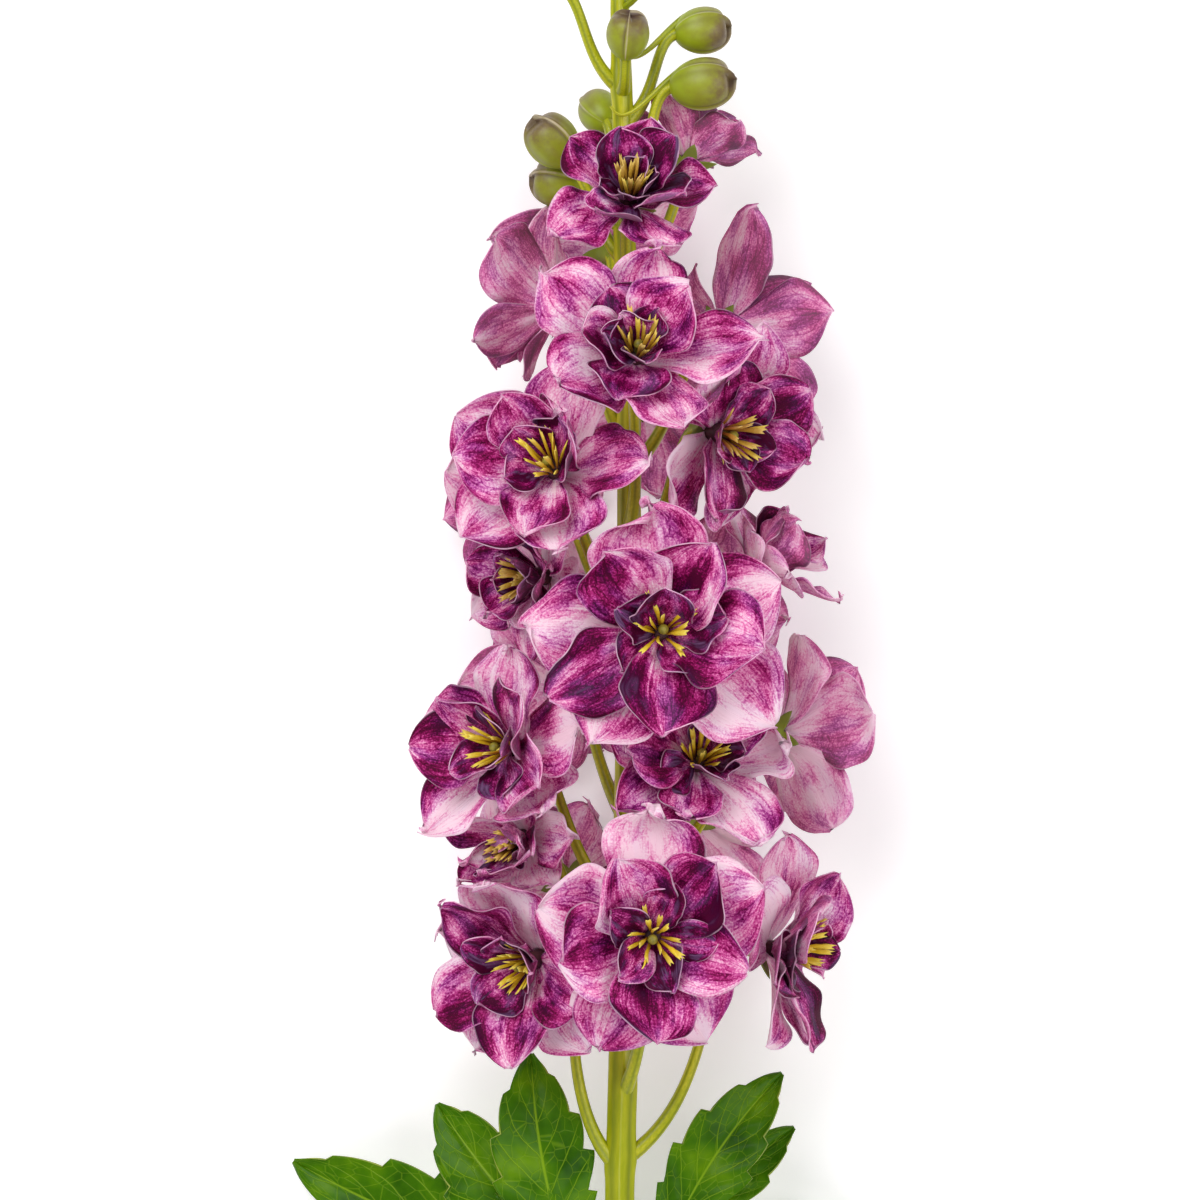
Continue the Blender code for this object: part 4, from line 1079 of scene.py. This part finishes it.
def green_skins():
    """The stem's yellow-green with painted shade in its grooves, the buds' green with a purple flush, painted
    shade under and beside their folds and pale seams that are partly a painted highlight, and the calyx green.
    """

    def stem(net):
        u, v = net.surface()
        fibre = net.noise(net.place(net.times(u, 60.0), net.times(v, 14.0), 0.0), 1.0, 3.0, 0.6)
        cloud = net.noise(net.solid(), 60.0, 2.0)
        place = net.sum(net.times(fibre, 0.55), net.times(cloud, 0.5))
        stops = ((0.25, (124, 136, 4)), (0.5, (172, 174, 14)), (0.75, (212, 204, 48)))
        shade = net.ramp(place, stops)
        off_stalks = net.smooth(net.attribute("tone"), 0.5, 0.6, 1.0, 0.3)
        low = net.times(net.smooth(u, 0.18, 0.38, 0.55, 0.0), off_stalks)
        shade = net.mix(low, shade, colour(128, 146, 6))
        # Painted shade: a darker green in the grooves between the stem's ribs, where shade falls.
        painted_groove_shade = net.math("PINGPONG", net.times(v, 10.0), 1.0)
        return net.mix(net.smooth(painted_groove_shade, 0.35, 1.0, 0.0, 0.60), shade, colour(98, 114, 4)), fibre

    def bud(net):
        u, v = net.surface()
        cloud = net.noise(net.solid(), 130.0, 5.0, 0.72)
        place = net.sum(net.times(u, 0.85), net.swing(cloud, 1.1))
        stops = ((0.10, (150, 164, 20)), (0.45, (138, 140, 34)), (0.70, (116, 98, 54)), (1.0, (78, 54, 56)))
        shade = net.ramp(place, stops)
        fold = net.math("FRACT", net.sum(net.times(v, float(BUD_FOLDS)), 1 - BUD_FOLD_AT))
        # Painted shadow: darker under each sepal's overlapping edge, more so towards the bud's far end.
        painted_fold_shadow = net.times(net.smooth(fold, 0.0, 0.10, 0.75, 0.0), net.smooth(u, 0.1, 0.6, 0.3, 0.9))
        shade = net.mix(painted_fold_shadow, shade, colour(88, 70, 44))
        # Painted shade: a little darker at the foot of each sepal's ridge.
        painted_ridge_shade = net.times(net.smooth(fold, 0.60, 0.80), net.smooth(fold, 0.80, 0.90, 0.30, 0.0))
        shade = net.mix(painted_ridge_shade, shade, colour(96, 84, 44))
        # Pale seam along each sepal's edge: partly the sepal's own pale margin, partly a painted highlight on
        # its ridge.
        edge = net.times(net.smooth(fold, 0.925, 0.95), net.smooth(fold, 0.965, 0.985, 1.0, 0.0))
        edge = net.times(edge, net.smooth(cloud, 0.35, 0.65, 0.15, 0.65))
        return net.mix(edge, shade, colour(206, 192, 156)), cloud

    def calyx_green(net):
        u, _ = net.surface()
        cloud = net.noise(net.solid(), 200.0, 3.0, 0.6)
        place = net.sum(net.times(u, 0.5), net.times(cloud, 0.6))
        return net.ramp(place, ((0.2, (132, 146, 24)), (0.5, (124, 138, 40)), (0.85, (106, 112, 60)))), cloud

    return (
        skin("stem yellow-green", stem, 0.30, (0.4, 0.25), Specular_IOR_Level=0.4),
        skin("bud green", bud, 0.42, (0.3, 0.25), Specular_IOR_Level=0.45),
        skin("calyx green", calyx_green, 0.48, (0.25, 0.2), Specular_IOR_Level=0.3),
    )


def leaf_skins():
    """The leaf's deep green with a net of light veins, its paler underside and its thin yellow edge."""
    outputs = {"Veins": "NodeSocketFloat", "Cloud": "NodeSocketFloat"}
    net, _, result = group("leaf veins", {}, outputs)
    u, v = net.surface()
    seed = net.attribute("seed")
    across = net.swing(v, 2.0)
    side = net.math("ABSOLUTE", across)
    wobble = net.swing(net.noise(net.solid(), 90.0, 2.0), 0.35)
    rib = net.smooth(side, 0.012, 0.045, 1.0, 0.0)
    comb = net.math("PINGPONG", net.sum(net.times(u, 6.0), net.times(side, -2.1), wobble), 0.5)
    branch = net.times(net.smooth(comb, 0.0, 0.045, 0.9, 0.0), net.smooth(side, 0.75, 0.95, 1.0, 0.2))
    cells = net.cells(net.times(u, 13.0), net.sum(net.times(across, 3.6), wobble), seed)
    fine = net.smooth(cells, 0.0, 0.045, 0.42, 0.0)
    net.put(net.math("MAXIMUM", net.math("MAXIMUM", rib, branch), fine), result.inputs["Veins"])
    net.put(net.noise(net.solid(), 70.0, 3.0, 0.6), result.inputs["Cloud"])
    pattern = net.tree

    def blade(net):
        node = net.add("ShaderNodeGroup", node_tree=pattern)
        green = net.ramp(node.outputs["Cloud"], ((0.3, (34, 76, 0)), (0.5, (60, 106, 0)), (0.72, (94, 134, 0))))
        shade = net.mix(net.times(node.outputs["Veins"], 0.62), green, colour(136, 170, 30))
        return shade, net.times(node.outputs["Veins"], -1.0)

    def underside(net):
        node = net.add("ShaderNodeGroup", node_tree=pattern)
        green = net.ramp(node.outputs["Cloud"], ((0.3, (74, 104, 44)), (0.7, (104, 132, 66))))
        veins = node.outputs["Veins"]
        return net.mix(net.times(veins, 0.6), green, colour(146, 168, 92)), veins

    waxy = {"Specular_IOR_Level": 0.08, "Coat_Weight": 0.04, "Coat_Roughness": 0.12}
    return (
        skin("leaf face", blade, 0.34, (0.45, 0.30), **waxy),
        skin("leaf underside", underside, 0.5, (0.4, 0.3)),
        skin("leaf edge", grained(200.0, (108, 134, 34), (148, 160, 50)), 0.5),
    )


def table_top():
    """The plain pale surface that the spike lies on."""
    mesh = bpy.data.meshes.new("table_top")
    corners = [(x, y, -TABLE_GAP) for x, y in ((-1, -1), (1, -1), (1, 1), (-1, 1))]
    mesh.from_pydata([(x * TABLE_HALF, y * TABLE_HALF, z) for x, y, z in corners], [], [(0, 1, 2, 3)])
    paper = bpy.data.materials.new("white table")
    paper.use_nodes = True
    shader = paper.node_tree.nodes["Principled BSDF"]
    shader.inputs["Base Color"].default_value = (0.93, 0.93, 0.93, 1)
    shader.inputs["Emission Color"].default_value = (1, 1, 1, 1)
    shader.inputs["Emission Strength"].default_value = 0.25
    shader.inputs["Roughness"].default_value = 0.9
    shader.inputs["Specular IOR Level"].default_value = 0.1
    mesh.materials.append(paper)
    made = bpy.data.objects.new("table_top", mesh)
    bpy.context.scene.collection.objects.link(made)


def lamp(name, place, size, power):
    """A square soft light at place, turned to the spike."""
    light = bpy.data.lights.new(name, "AREA")
    light.shape = "SQUARE"
    light.size = size
    light.energy = power
    made = bpy.data.objects.new(name, light)
    made.location = place
    made.rotation_euler = (Vector(LAMPS_AIM) - Vector(place)).to_track_quat("-Z", "Y").to_euler()
    bpy.context.scene.collection.objects.link(made)


def studio():
    """Soft white light from all round, a little more from the tip's side, and a long lens straight above."""
    bpy.context.scene.view_settings.view_transform = "Standard"
    world = bpy.data.worlds.new("soft white")
    world.use_nodes = True
    world.node_tree.nodes["Background"].inputs["Color"].default_value = (1, 1, 1, 1)
    world.node_tree.nodes["Background"].inputs["Strength"].default_value = 0.35
    bpy.context.scene.world = world
    for values in LAMPS:
        lamp(*values)
    camera = bpy.data.cameras.new("above")
    camera.sensor_width = SENSOR
    camera.lens = SENSOR * (CAMERA_PLACE[2] - FRAMED_HEIGHT) / FRAMED_WIDTH
    camera.clip_end = 20
    made = bpy.data.objects.new("above", camera)
    made.location = CAMERA_PLACE
    bpy.context.scene.collection.objects.link(made)
    bpy.context.scene.camera = made


def main():
    studio()
    table_top()
    clear = beads()
    petal_finish, stamen_finish = petal_skins(), stamen_skins()
    green_finish, leaf_finish = green_skins(), leaf_skins()
    for index in range(len(FLORETS)):
        petals_of(index, clear, petal_finish)
        stamens_of(index, stamen_finish)
    stem_green(green_finish)
    for number, bud in enumerate(BUDS):
        piece = Piece()
        closed_bud(piece, bud, rows=34, sides=80, slot=1)
        if number < SPURRED:
            spur(piece, bud, slot=0)
        name = f"bud_{number + 1:02d}"
        piece.make(name + "_folded", green_finish, name, merge=True)
    for leaf in LEAVES:
        leaf_pieces(leaf, leaf_finish, green_finish[:1])


main()
